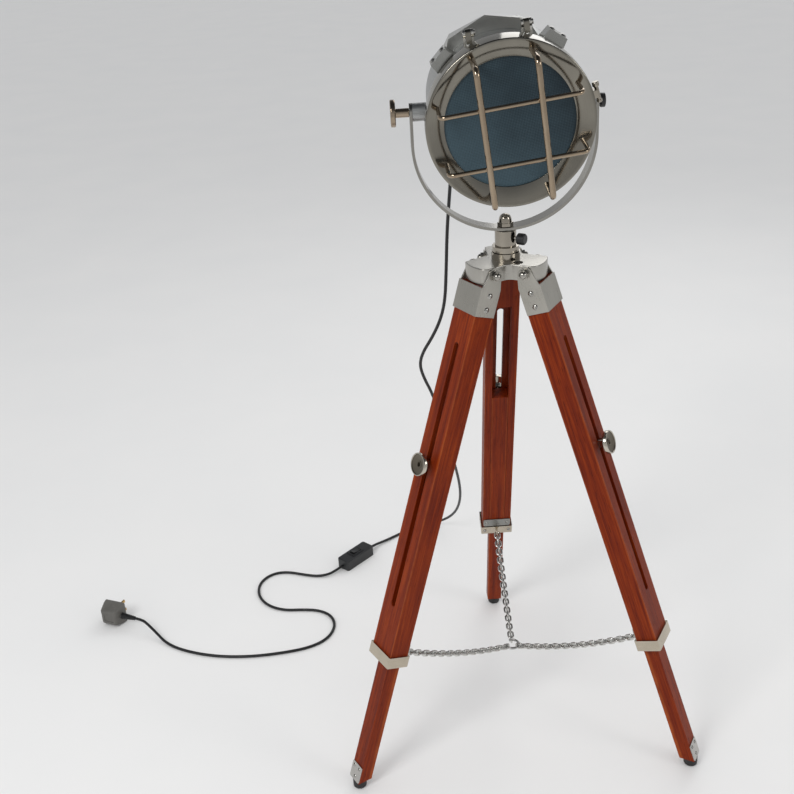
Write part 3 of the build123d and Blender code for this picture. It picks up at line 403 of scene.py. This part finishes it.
# Leg caps: folded from satin-ground steel sheet and plated, with two ears on the pivot bolt and
# two dome-head screws through each ear into the wood.
def bodies_of(shape):
    """The vertices of each separate body in a shape."""
    bodies, seen = [], set()
    for first in shape.verts:
        if first not in seen:
            body, waiting = [], [first]
            seen.add(first)
            while waiting:
                vert = waiting.pop()
                body.append(vert)
                others = [edge.other_vert(vert) for edge in vert.link_edges]
                waiting += [other for other in others if other not in seen]
                seen.update(others)
            bodies.append(body)
    return bodies


def verts_in(geometry):
    """The vertices among what an operator gives back."""
    return [item for item in geometry if isinstance(item, bmesh.types.BMVert)]


def cut_driver_slots(shape, outward_at, width, depth, turn):
    """Cuts a straight driver slot across the outer end of each screw in a shape."""
    head_depth, facing_out = 0.003, 0.3
    for verts in bodies_of(shape):
        middle = sum((vert.co for vert in verts), Vector()) / len(verts)
        outward = outward_at(middle)
        sideways = Matrix.Rotation(turn, 3, outward) @ outward.orthogonal().normalized()
        for offset in (-width / 2, width / 2):
            edges = dict.fromkeys(edge for vert in verts for edge in vert.link_edges)
            faces = dict.fromkeys(face for vert in verts for face in vert.link_faces)
            cut = bmesh.ops.bisect_plane(shape, geom=[*verts, *edges, *faces], dist=1e-7,
                                         plane_co=middle + sideways * offset, plane_no=sideways)
            verts = list(dict.fromkeys(verts + verts_in(cut["geom_cut"])))
        top = max((vert.co - middle).dot(outward) for vert in verts)
        slot_faces = []
        for face in dict.fromkeys(face for vert in verts for face in vert.link_faces):
            spot = face.calc_center_median() - middle
            in_slot = abs(spot.dot(sideways)) < width / 2 and spot.dot(outward) > top - head_depth
            if in_slot and face.normal.dot(outward) > facing_out:
                slot_faces.append(face)
        sunk = bmesh.ops.extrude_face_region(shape, geom=slot_faces)
        bmesh.ops.delete(shape, geom=slot_faces, context="FACES")
        bmesh.ops.translate(shape, verts=verts_in(sunk["geom"]), vec=outward * -depth)


screw_finish = bright_metal("plated_screws", paint(196, 194, 189), paint(140, 138, 133),
                            roughness=0.1, lines=0.05)
for side, leg in leg_places.items():
    cap_finish = bright_metal(f"satin_cap_{side}", paint(190, 187, 179), paint(146, 143, 136),
                              roughness=0.18, lines=0.16, stretch=(1, 30, 1), place=leg)
    soften(f"leg_cap_{side}", 0.0014, cap_finish)
    cap_screws = merged_copy(f"leg_screws_{side}")
    leg_x = leg.to_3x3().col[0]
    cut_driver_slots(
        cap_screws, lambda spot: leg_x if (spot - leg.translation).dot(leg_x) > 0 else -leg_x,
        width=0.0011, depth=0.0009, turn=0.6)
    stand_in(f"leg_screws_{side}", cap_screws, screw_finish)

# Collars: a band of champagne-bright plated metal round the lower end of each upper leg, with a
# wire staple on the inner side for the chain.
for side, leg in leg_places.items():
    collar_finish = bright_metal(
        f"champagne_collar_{side}", paint(216, 205, 187), paint(160, 151, 136),
        roughness=0.12, lines=0.1, stretch=(12, 1, 12), place=leg)
    soften(f"leg_collar_{side}", 0.0012, collar_finish)

# Keeper strips: a flat strip of satin plated steel is screwed across the open side of each
# channel, just above the collar, and keeps the inner leg in. Two more screws hold the collar.
strip_size, strip_corner, strip_down, strip_back = (0.056, 0.021, 0.002), 0.004, 0.6858, -0.0196
strip_screw_out, strip_screw_back = 0.021, -0.0206
collar_down, collar_screw_out, collar_screw_back = 0.708, 0.025, -0.022
screw_outline = [(0, -0.002), (0.0036, -0.002), (0.0036, 0.0002), (0.0031, 0.0011),
                 (0.002, 0.0017), (0, 0.0019)]
screw_spots = [(strip_screw_out, -strip_down, strip_screw_back),
               (-strip_screw_out, -strip_down, strip_screw_back),
               (collar_screw_out, -collar_down, collar_screw_back),
               (-collar_screw_out, -collar_down, collar_screw_back)]
to_back = Matrix.Rotation(radians(180), 4, "X")
for side, leg in leg_places.items():
    strip_shape = bmesh.new()
    strip_middle = leg @ Matrix.Translation((0, -strip_down, strip_back))
    bmesh.ops.create_cube(strip_shape, size=1.0,
                          matrix=strip_middle @ Matrix.Diagonal((*strip_size, 1)))
    through = leg.to_3x3().col[2]
    corners = [edge for edge in strip_shape.edges
               if abs((edge.verts[1].co - edge.verts[0].co).normalized().dot(through)) > 0.99]
    bmesh.ops.bevel(strip_shape, geom=corners, offset=strip_corner, segments=5, profile=0.5,
                    affect="EDGES", material=-1)
    strip = new_piece(f"keeper_strip_{side}", closed_up(strip_shape), edge=0.0005)
    strip_finish = bright_metal(f"satin_strip_{side}", paint(170, 170, 166), paint(128, 128, 125),
                                roughness=0.2, lines=0.12, stretch=(20, 1, 1), place=leg)
    fit(strip, f"leg_collar_{side}", strip_finish)
    screws_shape = bmesh.new()
    for spot in screw_spots:
        turned(screws_shape, screw_outline, leg @ Matrix.Translation(spot) @ to_back, steps=28)
    cut_driver_slots(closed_up(screws_shape), lambda spot: -through,
                     width=0.001, depth=0.0008, turn=0.5)
    strip_screws = new_piece(f"keeper_screws_{side}", screws_shape)
    fit(strip_screws, f"leg_collar_{side}", screw_finish)

# Clamp knobs: turned discs of plated steel with a bright lip, a dished brushed face and a bored
# eye, each on a stud through the slot that clamps the inner leg.
knob_downs, knob_seat = {"rear": 0.331, "left": 0.34, "right": 0.322}, 0.0188
knob_outline = [
    (0, -0.026), (0.004, -0.026), (0.004, 0), (0.0086, 0), (0.0086, 0.0084), (0.0098, 0.01),
    (0.0188, 0.0132), (0.02, 0.0143), (0.02, 0.0197), (0.0194, 0.0205), (0.018, 0.0205),
    (0.0174, 0.0199), (0.0172, 0.0188), (0.014, 0.0178), (0.01, 0.0171), (0.0064, 0.0168),
    (0.0058, 0.0177), (0.0042, 0.0177), (0.0036, 0.0168), (0.0032, 0.011), (0, 0.011)]
eye_foot, eye_r, dish_foot, dish_top, dish_r = 0.0105, 0.0037, 0.0166, 0.0195, 0.0173
for side, leg in leg_places.items():
    knob_place = leg @ Matrix.Translation((0, -knob_downs[side], knob_seat))
    knob_shape = bmesh.new()
    turned(knob_shape, knob_outline, knob_place, steps=72)
    knob_finish = bright_metal(f"turned_knob_{side}", paint(220, 213, 201), paint(158, 150, 138),
                               roughness=0.09, lines=0.08, place=knob_place, rings=True)
    knob = stand_in(f"leg_knob_{side}", closed_up(knob_shape), knob_finish,
                    angle=40)
    # The dished face and the bored eye get a darker copy of the knob's metal. This is painted shade
    # in the hollows, set against the brighter lip.
    dish_painted_shade = bright_metal(f"knob_dish_painted_shade_{side}", paint(140, 132, 119), paint(84, 78, 69),
                               roughness=0.24, lines=0.22, place=knob_place, rings=True)
    knob.data.materials.append(dish_painted_shade)
    to_knob = knob_place.inverted()
    for face in knob.data.polygons:
        spot = to_knob @ face.center
        in_dish = dish_foot < spot.z < dish_top and spot.xy.length < dish_r
        in_eye = eye_foot < spot.z < dish_top and spot.xy.length < eye_r
        if in_dish or in_eye:
            face.material_index = 1


# Feet: a plated plate with three screws is wrapped on the end of each inner leg, over a small
# black rubber foot.
def moulded(name, colour, pale, roughness, grain, grain_size):
    """Moulded rubber or plastic: a faint mottle, a fine grain, and paler and duller scuffs."""
    finish, shader, here = new_finish(name)
    mottle = here.cloud(0.03, 4.0)
    pits = here.cloud(grain_size, 2.0)
    scuffs = here.cloud(0.012, 5.0).rising(0.58, 0.8)
    (mottle * 0.5 + scuffs * 0.4).tint(colour, pale).into(shader, "Base Color")
    (roughness + pits * 0.12 + scuffs * 0.15).into(shader, "Roughness")
    pits.bump(grain, 0.0002).into(shader, "Normal")
    return finish


rubber = moulded("foot_rubber", paint(24, 24, 25), paint(52, 51, 50),
                 roughness=0.55, grain=0.4, grain_size=0.0011)
for side, leg in leg_places.items():
    foot_plate_finish = bright_metal(
        f"satin_foot_plate_{side}", paint(204, 202, 198), paint(160, 158, 154),
        roughness=0.15, lines=0.12, stretch=(1, 20, 1), place=leg)
    soften(f"foot_plate_{side}", 0.0005, foot_plate_finish)
    foot_screws = merged_copy(f"foot_screws_{side}")
    leg_out = leg.to_3x3().col[2]
    cut_driver_slots(foot_screws, lambda spot: leg_out, width=0.0009, depth=0.0007, turn=0.9)
    stand_in(f"foot_screws_{side}", foot_screws, screw_finish)
    soften(f"foot_{side}", 0.0006, rubber)

# Chains: welded links of plated steel wire run from the collars to an open wire hook in the
# middle, and stop the legs from sliding apart.
chain_finish = bright_metal("plated_chain", paint(224, 223, 219), paint(178, 177, 173),
                            roughness=0.15, lines=0.05)
for side, leg in leg_places.items():
    chain = new_piece(f"chain_{side}_piece", merged_copy(f"chain_{side}"), angle=60)
    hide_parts(f"chain_{side}")
    coat(chain, chain_finish)
    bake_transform(chain)
hook_finish = bright_metal("wire_hook", paint(206, 206, 204), paint(152, 152, 150),
                           roughness=0.2, lines=0.06)
stand_in("chain_hook", merged_copy("chain_hook"), hook_finish, angle=60)

# Yoke: a flat nickel-plated strap bent to a U that holds the head at both sides. A dome nut
# clamps it on the spigot that turns in the post.
strap_finish = bright_metal("polished_strap", paint(176, 173, 166), paint(128, 125, 119),
                            roughness=0.08, lines=0.05, stretch=(1, 20, 1))
soften("yoke_strap", 0.0009, strap_finish)
soften("yoke_spigot", 0.0006, nickel)
soften("dome_nut", 0.0006, nickel)


# Pan lock: a black moulded thumb knob on a bright steel stud that screws into the post.
# It locks the head's turn.
def dark_end(piece, start, way, finish):
    """Gives the faces of a piece past a point a second finish."""
    piece.data.materials.append(finish)
    for face in piece.data.polygons:
        if (face.center - start).dot(way) > 0:
            face.material_index = 1


black_plastic = moulded("black_knob", paint(20, 20, 21), paint(46, 46, 46),
                        roughness=0.3, grain=0.25, grain_size=0.0009)
lock_angle, lock_height = radians(-36), 0.986
post_r, lock_stud, lock_overlap = 0.0175, 0.006, 0.0001
lock_way = Vector((cos(lock_angle), sin(lock_angle), 0))
lock_start = Vector((0, axis_y, lock_height)) + lock_way * (post_r + lock_stud - lock_overlap)
pan_lock = soften("pan_lock_knob", 0.0008, screw_finish)
dark_end(pan_lock, lock_start, lock_way, black_plastic)

# Tilt screws: the left one is a turned nickel disc knob, the right one a small black knob on a
# steel stud. They clamp the head in the yoke's arms.
tilt_height, right_knob_out = 1.195, 0.1459
# The left knob is nickel tinted warm brown. The tint is a painted warm reflection.
nickel_painted_warm_reflection = bright_metal("nickel_painted_warm_reflection", paint(178, 162, 142), paint(124, 110, 94),
                           roughness=0.08, lines=0.05)
soften("tilt_knob_left", 0.0007, nickel_painted_warm_reflection)
tilt_right = soften("tilt_knob_right", 0.0007, screw_finish)
dark_end(tilt_right, Vector((right_knob_out, axis_y, tilt_height)), Vector((1, 0, 0)),
         black_plastic)

# Head: a drum of rolled sheet with a domed rear cover, brushed on the side and plated. The brush
# lines run round the drum.
head_tilt, head_turn = radians(-5), radians(7)
head_forward = Vector((0, -cos(head_tilt), sin(head_tilt)))
head_level_up = Vector((0, sin(head_tilt), cos(head_tilt)))
head_right = Vector((1, 0, 0)) * cos(head_turn) + head_level_up * sin(head_turn)
head_up = head_forward.cross(head_right)
head_place = placed((0, axis_y, tilt_height), head_right, head_up, head_forward)
drum_finish = bright_metal("brushed_drum", paint(186, 187, 186), paint(142, 143, 142),
                           roughness=0.26, lines=0.18, stretch=(25, 25, 1), place=head_place)
cover_finish = bright_metal("spun_cover", paint(186, 187, 186), paint(142, 143, 142),
                            roughness=0.24, lines=0.14, place=head_place, rings=True)
soften("drum", 0.0008, drum_finish)
soften("rear_cover", 0.0009, cover_finish)

# Cord gland: a black gland in the rear cover, with a ribbed tapered sleeve that keeps the cord
# from kinking where it leaves.
soften("cord_gland", 0.0008, black_plastic)


def ribbed_sleeve(length, ribs, start_r, end_r):
    """Outline of a cord sleeve whose ribs step from one radius at its start to another."""
    bore, rib_end, groove_start, groove_end, groove_share = 0.0033, 0.6, 0.68, 0.92, 0.86
    outline = [(bore, 0.0)]
    for number in range(ribs):
        radius = start_r + (end_r - start_r) * number / (ribs - 1)
        start, rib = length * number / ribs, length / ribs
        outline += [(radius, start), (radius, start + rib_end * rib),
                    (radius * groove_share, start + groove_start * rib),
                    (radius * groove_share, start + groove_end * rib)]
    return outline + [(bore, length)]


def pointing(origin, way):
    """A frame at an origin whose z axis points a way."""
    return Matrix.Translation(origin) @ way.to_track_quat("Z", "Y").to_matrix().to_4x4()


gland_end = Vector((-0.061922, 0.040971, 1.136049))
sleeve_shape = bmesh.new()
turned(sleeve_shape, ribbed_sleeve(0.0185, ribs=5, start_r=0.0058, end_r=0.0042),
       pointing(gland_end, -head_forward), steps=32, closed=True)
cord_sleeve = new_piece("cord_sleeve", closed_up(sleeve_shape), angle=50)
fit(cord_sleeve, "cord_gland", black_plastic)

# Lampholder and bulb: a black holder on the rear cover and a pearl bulb, behind the glass.
# They show only with the door open.
soften("lampholder", 0.0008, black_plastic)
bulb_finish, bulb_shader, bulb_here = new_finish("pearl_bulb")
bulb_mottle = bulb_here.cloud(0.01)
bulb_mottle.tint(paint(226, 225, 220), paint(240, 238, 232)).into(bulb_shader, "Base Color")
(0.18 + bulb_mottle * 0.1).into(bulb_shader, "Roughness")
stand_in("bulb", merged_copy("bulb"), bulb_finish, angle=50)

# Vent hood and vent boxes: folded and plated sheet over the top of the drum, with two small
# boxes that let the heat out. Each box is held by two screws.
hood_finish = bright_metal("brushed_hood", paint(206, 206, 202), paint(150, 150, 146),
                           roughness=0.22, lines=0.2, place=head_place, rings=True)
soften("vent_hood", 0.0014, hood_finish)
box_finish = bright_metal("polished_box", paint(178, 178, 174), paint(120, 120, 116),
                          roughness=0.12, lines=0.08, stretch=(1, 1, 14), place=head_place)
soften("vent_boxes", 0.0009, box_finish)
box_angle = radians(41)
box_ways = [head_right * sin(turn) + head_up * cos(turn) for turn in (-box_angle, box_angle)]
vent_screws = merged_copy("vent_screws")
cut_driver_slots(
    vent_screws, lambda spot: max(box_ways, key=(spot - head_place.translation).dot),
    width=0.0011, depth=0.0009, turn=0.4)
stand_in("vent_screws", vent_screws, screw_finish)

# Door hinge: two polished forks on the drum, with pins through the knuckles of the door ring.
# The door swings up on them.
hinge_finish = bright_metal("bright_hinge", paint(218, 216, 210), paint(170, 168, 162),
                            roughness=0.14, lines=0.05)
soften("hinge_cheeks", 0.0007, hinge_finish)
soften("hinge_pins", 0.0005, screw_finish)

# Door ring: a spun and polished ring with a thin bright lip and a deep sloping wall inside, and
# two hinge knuckles on top. A second ring behind holds the glass.
rim_r, rim_back, rim_front, rim_round, rim_sheet = 0.126, 0.066, 0.1, 0.0022, 0.0025
lip_r, wall_r, wall_foot, seat = 0.121, 0.0977, 0.088, 0.0855
skirt_r, skirt_end, skirt_top = 0.1007, 0.0791, 0.0883
rim_arc = [
    (rim_r - rim_round * (1 - cos(a * pi / 12)), rim_front - rim_round * (1 - sin(a * pi / 12)))
    for a in range(7)]
ring_outline = [(rim_r, rim_back)] + rim_arc + [
    (lip_r, rim_front), (wall_r, wall_foot), (wall_r, seat), (skirt_r, seat), (skirt_r, skirt_end),
    (skirt_r + rim_sheet, skirt_end), (skirt_r + rim_sheet, skirt_top),
    (rim_r - rim_sheet, rim_front - rim_sheet), (rim_r - rim_sheet, rim_back)]
ring_shape = merged_copy("door_ring")
to_head, ring_slack = head_place.inverted(), 0.0002
spun_faces = [face for face in ring_shape.faces
              if all((to_head @ vert.co).xy.length < rim_r + ring_slack for vert in face.verts)]
bmesh.ops.delete(ring_shape, geom=spun_faces, context="FACES")
bmesh.ops.holes_fill(ring_shape, edges=[edge for edge in ring_shape.edges if edge.is_boundary])
turned(ring_shape, ring_outline, head_place, steps=192, closed=True)
# The ring and the retainer are a darker copy of the polished nickel. This is a painted dark
# reflection for the ring's inner wall.
ring_painted_dark_finish = bright_metal("polished_ring_painted_dark", paint(154, 150, 140), paint(98, 94, 86),
                           roughness=0.06, lines=0.07, place=head_place, rings=True)
stand_in("door_ring", closed_up(ring_shape), ring_painted_dark_finish, edge=0.0006)
stand_in("lens_retainer", merged_copy("lens_retainer"), ring_painted_dark_finish)

# Door catch: a small plated barrel on a lug at the right of the ring, which is pulled to free
# the door.
catch_angle, catch_forward = radians(9), 0.084
lug_size, lug_out, barrel_out = (0.012, 0.012, 0.016), 0.001, 0.0068
barrel_outline = [(0, -0.015), (0.0034, -0.015), (0.0042, -0.0142), (0.0042, -0.0112),
                  (0.0032, -0.0104), (0.0032, 0.0084), (0.0046, 0.0092), (0.0052, 0.011),
                  (0.0052, 0.015), (0.0044, 0.0162), (0, 0.0162)]
catch_turn = Matrix.Rotation(catch_angle, 4, "Z")
catch_place = head_place @ catch_turn @ Matrix.Translation((rim_r, 0, catch_forward))
lug_middle = catch_place @ Matrix.Translation((lug_out, 0, 0))
barrel_middle = catch_place @ Matrix.Translation((barrel_out, 0, 0))
catch_shape = bmesh.new()
bmesh.ops.create_cube(catch_shape, size=1.0, matrix=lug_middle @ Matrix.Diagonal((*lug_size, 1)))
turned(catch_shape, barrel_outline, barrel_middle @ Matrix.Rotation(radians(-90), 4, "X"), steps=40)
catch = new_piece("door_catch", closed_up(catch_shape), edge=0.0006)
fit(catch, "door_ring", nickel)

# Guard: two uprights and two crossbars of polished round bar, with their ends bent back into
# the ring, in front of the glass.
guard_finish = bright_metal("polished_guard", paint(186, 169, 147), paint(122, 106, 88),
                            roughness=0.05, lines=0.03)
stand_in("guard_grille", merged_copy("guard_grille"), guard_finish, angle=40)

# Glass: a slate-blue frosted disc, pressed on its face with a fine grid of small prisms that
# scatters the light.
glass_finish, glass_shader, glass_here = new_finish("frosted_glass")
glass_face = glass_here.mapped(head_place.translation, head_place.to_euler())
glass_x, glass_y = glass_face.along("X"), glass_face.along("Y")
prism_rate = 1350.0
prisms = (glass_face.maths("SINE", (glass_x + glass_y) * prism_rate)
          * glass_face.maths("SINE", (glass_x - glass_y) * prism_rate))
glass_haze = glass_face.cloud(0.06)
# The glass is painted lighter towards the lower left of the disc. This is a painted reflection laid
# over the real haze and prism grid.
glass_haze_and_painted_sheen = 0.1 + glass_haze * 0.4 + prisms * 0.22 - glass_x * 1.6 - glass_y * 2.0
glass_haze_and_painted_sheen.tint(paint(24, 36, 43), paint(80, 102, 112)).into(glass_shader, "Base Color")
(0.36 + glass_haze * 0.1 + prisms * 0.08).into(glass_shader, "Roughness")
prisms.bump(0.4, 0.0004).into(glass_shader, "Normal")
glass_shader.inputs["Specular IOR Level"].default_value = 0.22
stand_in("lens_glass", merged_copy("lens_glass"), glass_finish, angle=40)

# Switch: a black moulded case in the cord, with a raised frame round the rocker in its middle.
# The cord runs through it from end to end.
case_plastic = moulded("switch_plastic", paint(26, 27, 28), paint(54, 55, 56),
                       roughness=0.34, grain=0.35, grain_size=0.0008)
switch_case = soften("switch_case", 0.0014, case_plastic)
switch_rocker = soften("switch_rocker", 0.0009, black_plastic)
straight_up = Vector((0, 0, 1))
switch_along = Vector((-0.688, -0.726, 0)).normalized()
switch_top = placed((-0.318, 0.469, 0.0258), switch_along, straight_up.cross(switch_along),
                    straight_up)
frame_length, frame_width, frame_rise, frame_bar = 0.036, 0.0228, 0.0022, 0.0042
frame_shape = bmesh.new()
bmesh.ops.create_grid(frame_shape, x_segments=1, y_segments=1, size=0.5,
                      matrix=switch_top @ Matrix.Diagonal((frame_length, frame_width, 1, 1)))
frame_middle = list(frame_shape.faces)
bmesh.ops.inset_region(frame_shape, faces=frame_middle, thickness=frame_bar, use_boundary=True,
                       use_even_offset=True)
bmesh.ops.delete(frame_shape, geom=frame_middle, context="FACES")
risen = bmesh.ops.extrude_face_region(frame_shape, geom=list(frame_shape.faces))
bmesh.ops.translate(frame_shape, verts=verts_in(risen["geom"]), vec=straight_up * frame_rise)
switch_frame = new_piece("switch_frame", closed_up(frame_shape), edge=0.0008)
fit(switch_frame, "switch_case", case_plastic)

# Plug: a moulded grey body with a recessed grip in its back, a black ribbed sleeve for the cord,
# and three brass pins on its far side.
plug_along = Vector((-0.92, 0.39, 0)).normalized()
plug_face = plug_along.cross(straight_up)
plug_end = Vector((-0.823, 0.259, 0.025))
body_start = plug_end + plug_along * 0.034
plug_place = placed(body_start, plug_along, straight_up, plug_face)
plug_length, plug_width, plug_depth, plug_flange, plug_draft = 0.052, 0.05, 0.036, 0.008, 0.007
plug_round, grip_rim, grip_depth = 0.006, 0.004, 0.0016
plug_shape = bmesh.new()
flange_size = Matrix.Diagonal((plug_length, plug_width, plug_flange, 1))
flange_middle = plug_place @ Matrix.Translation(
    (plug_length / 2, 0, (plug_depth - plug_flange) / 2))
bmesh.ops.create_cube(plug_shape, size=1.0, matrix=flange_middle @ flange_size)


def face_towards(shape, way):
    """The face of a shape that faces a way most squarely and lies farthest that way."""
    facing = [face for face in shape.faces if face.normal.dot(way) > 0.9]
    return max(facing, key=lambda face: face.calc_center_median().dot(way))


plug_shape.normal_update()
flange_back = face_towards(plug_shape, -plug_face)
grown = bmesh.ops.extrude_face_region(plug_shape, geom=[flange_back])
bmesh.ops.delete(plug_shape, geom=[flange_back], context="FACES")
back_verts = verts_in(grown["geom"])
bmesh.ops.translate(plug_shape, verts=back_verts, vec=plug_face * (plug_flange - plug_depth))
back_share = (1 - 2 * plug_draft / plug_length, 1 - 2 * plug_draft / plug_width, 1)
bmesh.ops.scale(plug_shape, verts=back_verts, vec=back_share, space=flange_middle.inverted())
bmesh.ops.bevel(plug_shape, geom=list(plug_shape.edges), offset=plug_round, segments=5,
                profile=0.5, affect="EDGES", material=-1, clamp_overlap=True)
plug_shape.normal_update()
grip = face_towards(plug_shape, -plug_face)
bmesh.ops.inset_region(plug_shape, faces=[grip], thickness=grip_rim, depth=0.0)
bmesh.ops.inset_region(plug_shape, faces=[grip], thickness=grip_depth, depth=-grip_depth)
turned(plug_shape, ribbed_sleeve(0.036, ribs=7, start_r=0.0046, end_r=0.0075),
       pointing(plug_end, plug_along), steps=32, closed=True)
plug_plastic = moulded("plug_plastic", paint(84, 82, 78), paint(118, 116, 110),
                       roughness=0.36, grain=0.3, grain_size=0.001)
plug_body = stand_in("plug_body", closed_up(plug_shape), plug_plastic, angle=35)
dark_end(plug_body, body_start, -plug_along, black_plastic)
brass = bright_metal("brass_pins", paint(206, 170, 104), paint(170, 134, 76),
                     roughness=0.16, lines=0.08, stretch=(10, 10, 1))
plug_pins = soften("plug_pins", 0.0005, brass)

# Cord: a round black rubber-sheathed lead. It hangs from the gland to the floor, runs through
# the switch, and lies in loose bends on the floor up to the plug.
cord_radius, yoke_level = 0.0031, 0.985
cord_rubber = moulded("cord_sheath", paint(17, 17, 18), paint(40, 40, 41),
                      roughness=0.38, grain=0.2, grain_size=0.0007)
upper_route = [
    (-0.061922, 0.040971, 1.136049), (-0.061922, 0.060895, 1.137792), (-0.063, 0.082, 1.127),
    (-0.066, 0.096, 1.101), (-0.071, 0.1, 1.058), (-0.077, 0.099, 1.003), (-0.083, 0.102, 0.943),
    (-0.087, 0.109, 0.866), (-0.091, 0.116, 0.804), (-0.101, 0.124, 0.762), (-0.118, 0.134, 0.723),
    (-0.137, 0.145, 0.689), (-0.144, 0.157, 0.657), (-0.136, 0.171, 0.622), (-0.121, 0.192, 0.578),
    (-0.108, 0.222, 0.522), (-0.095, 0.264, 0.45), (-0.081, 0.309, 0.375), (-0.069, 0.352, 0.305),
    (-0.06, 0.395, 0.242), (-0.056, 0.444, 0.176), (-0.061, 0.5, 0.11), (-0.076, 0.556, 0.054),
    (-0.102, 0.594, 0.018), (-0.139, 0.606, 0.0031), (-0.18, 0.59, 0.0031), (-0.218, 0.562, 0.0031),
    (-0.249, 0.536, 0.006), (-0.272602, 0.516906, 0.01), (-0.286359, 0.502389, 0.01)]
lower_route = [
    (-0.349641, 0.435611, 0.01), (-0.363398, 0.421094, 0.01), (-0.383, 0.409, 0.006),
    (-0.412, 0.408, 0.0031), (-0.446, 0.419, 0.0031), (-0.48, 0.433, 0.0031),
    (-0.512, 0.434, 0.0031), (-0.538, 0.416, 0.0031), (-0.552, 0.384, 0.0031),
    (-0.548, 0.341, 0.0031), (-0.524, 0.303, 0.0031), (-0.485, 0.281, 0.0031),
    (-0.442, 0.279, 0.0031), (-0.402, 0.272, 0.0031), (-0.373, 0.248, 0.0031),
    (-0.364, 0.208, 0.0031), (-0.381, 0.165, 0.0031), (-0.421, 0.139, 0.0031),
    (-0.482, 0.127, 0.0031), (-0.552, 0.122, 0.0031), (-0.627, 0.131, 0.0031),
    (-0.698, 0.157, 0.0031), (-0.743, 0.188, 0.0031), (-0.768, 0.216, 0.012),
    (-0.79, 0.238, 0.021), (-0.804586, 0.251194, 0.025), (-0.823, 0.259, 0.025)]


def lay_line(route):
    """The points of the smooth line that a cord takes along its route."""
    line = bpy.data.curves.new("cord_line", "CURVE")
    line.dimensions = "3D"
    line.resolution_u = 10
    spline = line.splines.new("NURBS")
    spline.points.add(len(route) - 1)
    for point, spot in zip(spline.points, route):
        point.co = (*spot, 1.0)
    spline.order_u = 3
    spline.use_endpoint_u = True
    holder = bpy.data.objects.new("cord_line", line)
    drawn = bpy.data.meshes.new_from_object(holder)
    points = [vert.co.copy() for vert in drawn.vertices]
    bpy.data.objects.remove(holder)
    bpy.data.meshes.remove(drawn)
    bpy.data.curves.remove(line)
    return points


def cord_tube(name, points):
    """A round closed tube along a line of points."""
    shape = bmesh.new()
    way = (points[1] - points[0]).normalized()
    bmesh.ops.create_circle(shape, cap_ends=True, segments=14, radius=cord_radius,
                            matrix=pointing(points[0], way))
    rim = list(shape.edges)
    one_past_end = points[-1] * 2 - points[-2]
    for before, spot, after in zip(points, points[1:], points[2:] + [one_past_end]):
        next_way = (after - before).normalized()
        swing = way.rotation_difference(next_way).to_matrix()
        grown = bmesh.ops.extrude_edge_only(shape, edges=rim)["geom"]
        rim = [item for item in grown if isinstance(item, bmesh.types.BMEdge)]
        bmesh.ops.rotate(shape, verts=verts_in(grown), cent=before, matrix=swing)
        bmesh.ops.translate(shape, verts=verts_in(grown), vec=spot - before)
        way = next_way
    bmesh.ops.contextual_create(shape, geom=rim)
    bmesh.ops.recalc_face_normals(shape, faces=shape.faces)
    piece = new_piece(name, shape, angle=60)
    coat(piece, cord_rubber)
    return piece


def length_of(points):
    """The length of a line of points."""
    return sum((after - before).length for before, after in zip(points, points[1:]))


upper_line = lay_line(upper_route)
lower_line = lay_line(lower_route)
split = next(i for i, spot in enumerate(upper_line) if spot.z < yoke_level)
head_line, hanging_line = upper_line[:split + 1], upper_line[split:]
head_cord = cord_tube("cord_head", head_line)
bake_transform(head_cord)
length_of(head_line)
hanging_cord = cord_tube("cord_hanging", hanging_line)
hanging_line[0] - Vector((0, 0, 0.62))
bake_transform(hanging_cord)
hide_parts("cord_upper")
length_of(hanging_line)
floor_cord = cord_tube("cord_floor", lower_line)
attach(floor_cord, "tripod")
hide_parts("cord_lower")
length_of(lower_line)
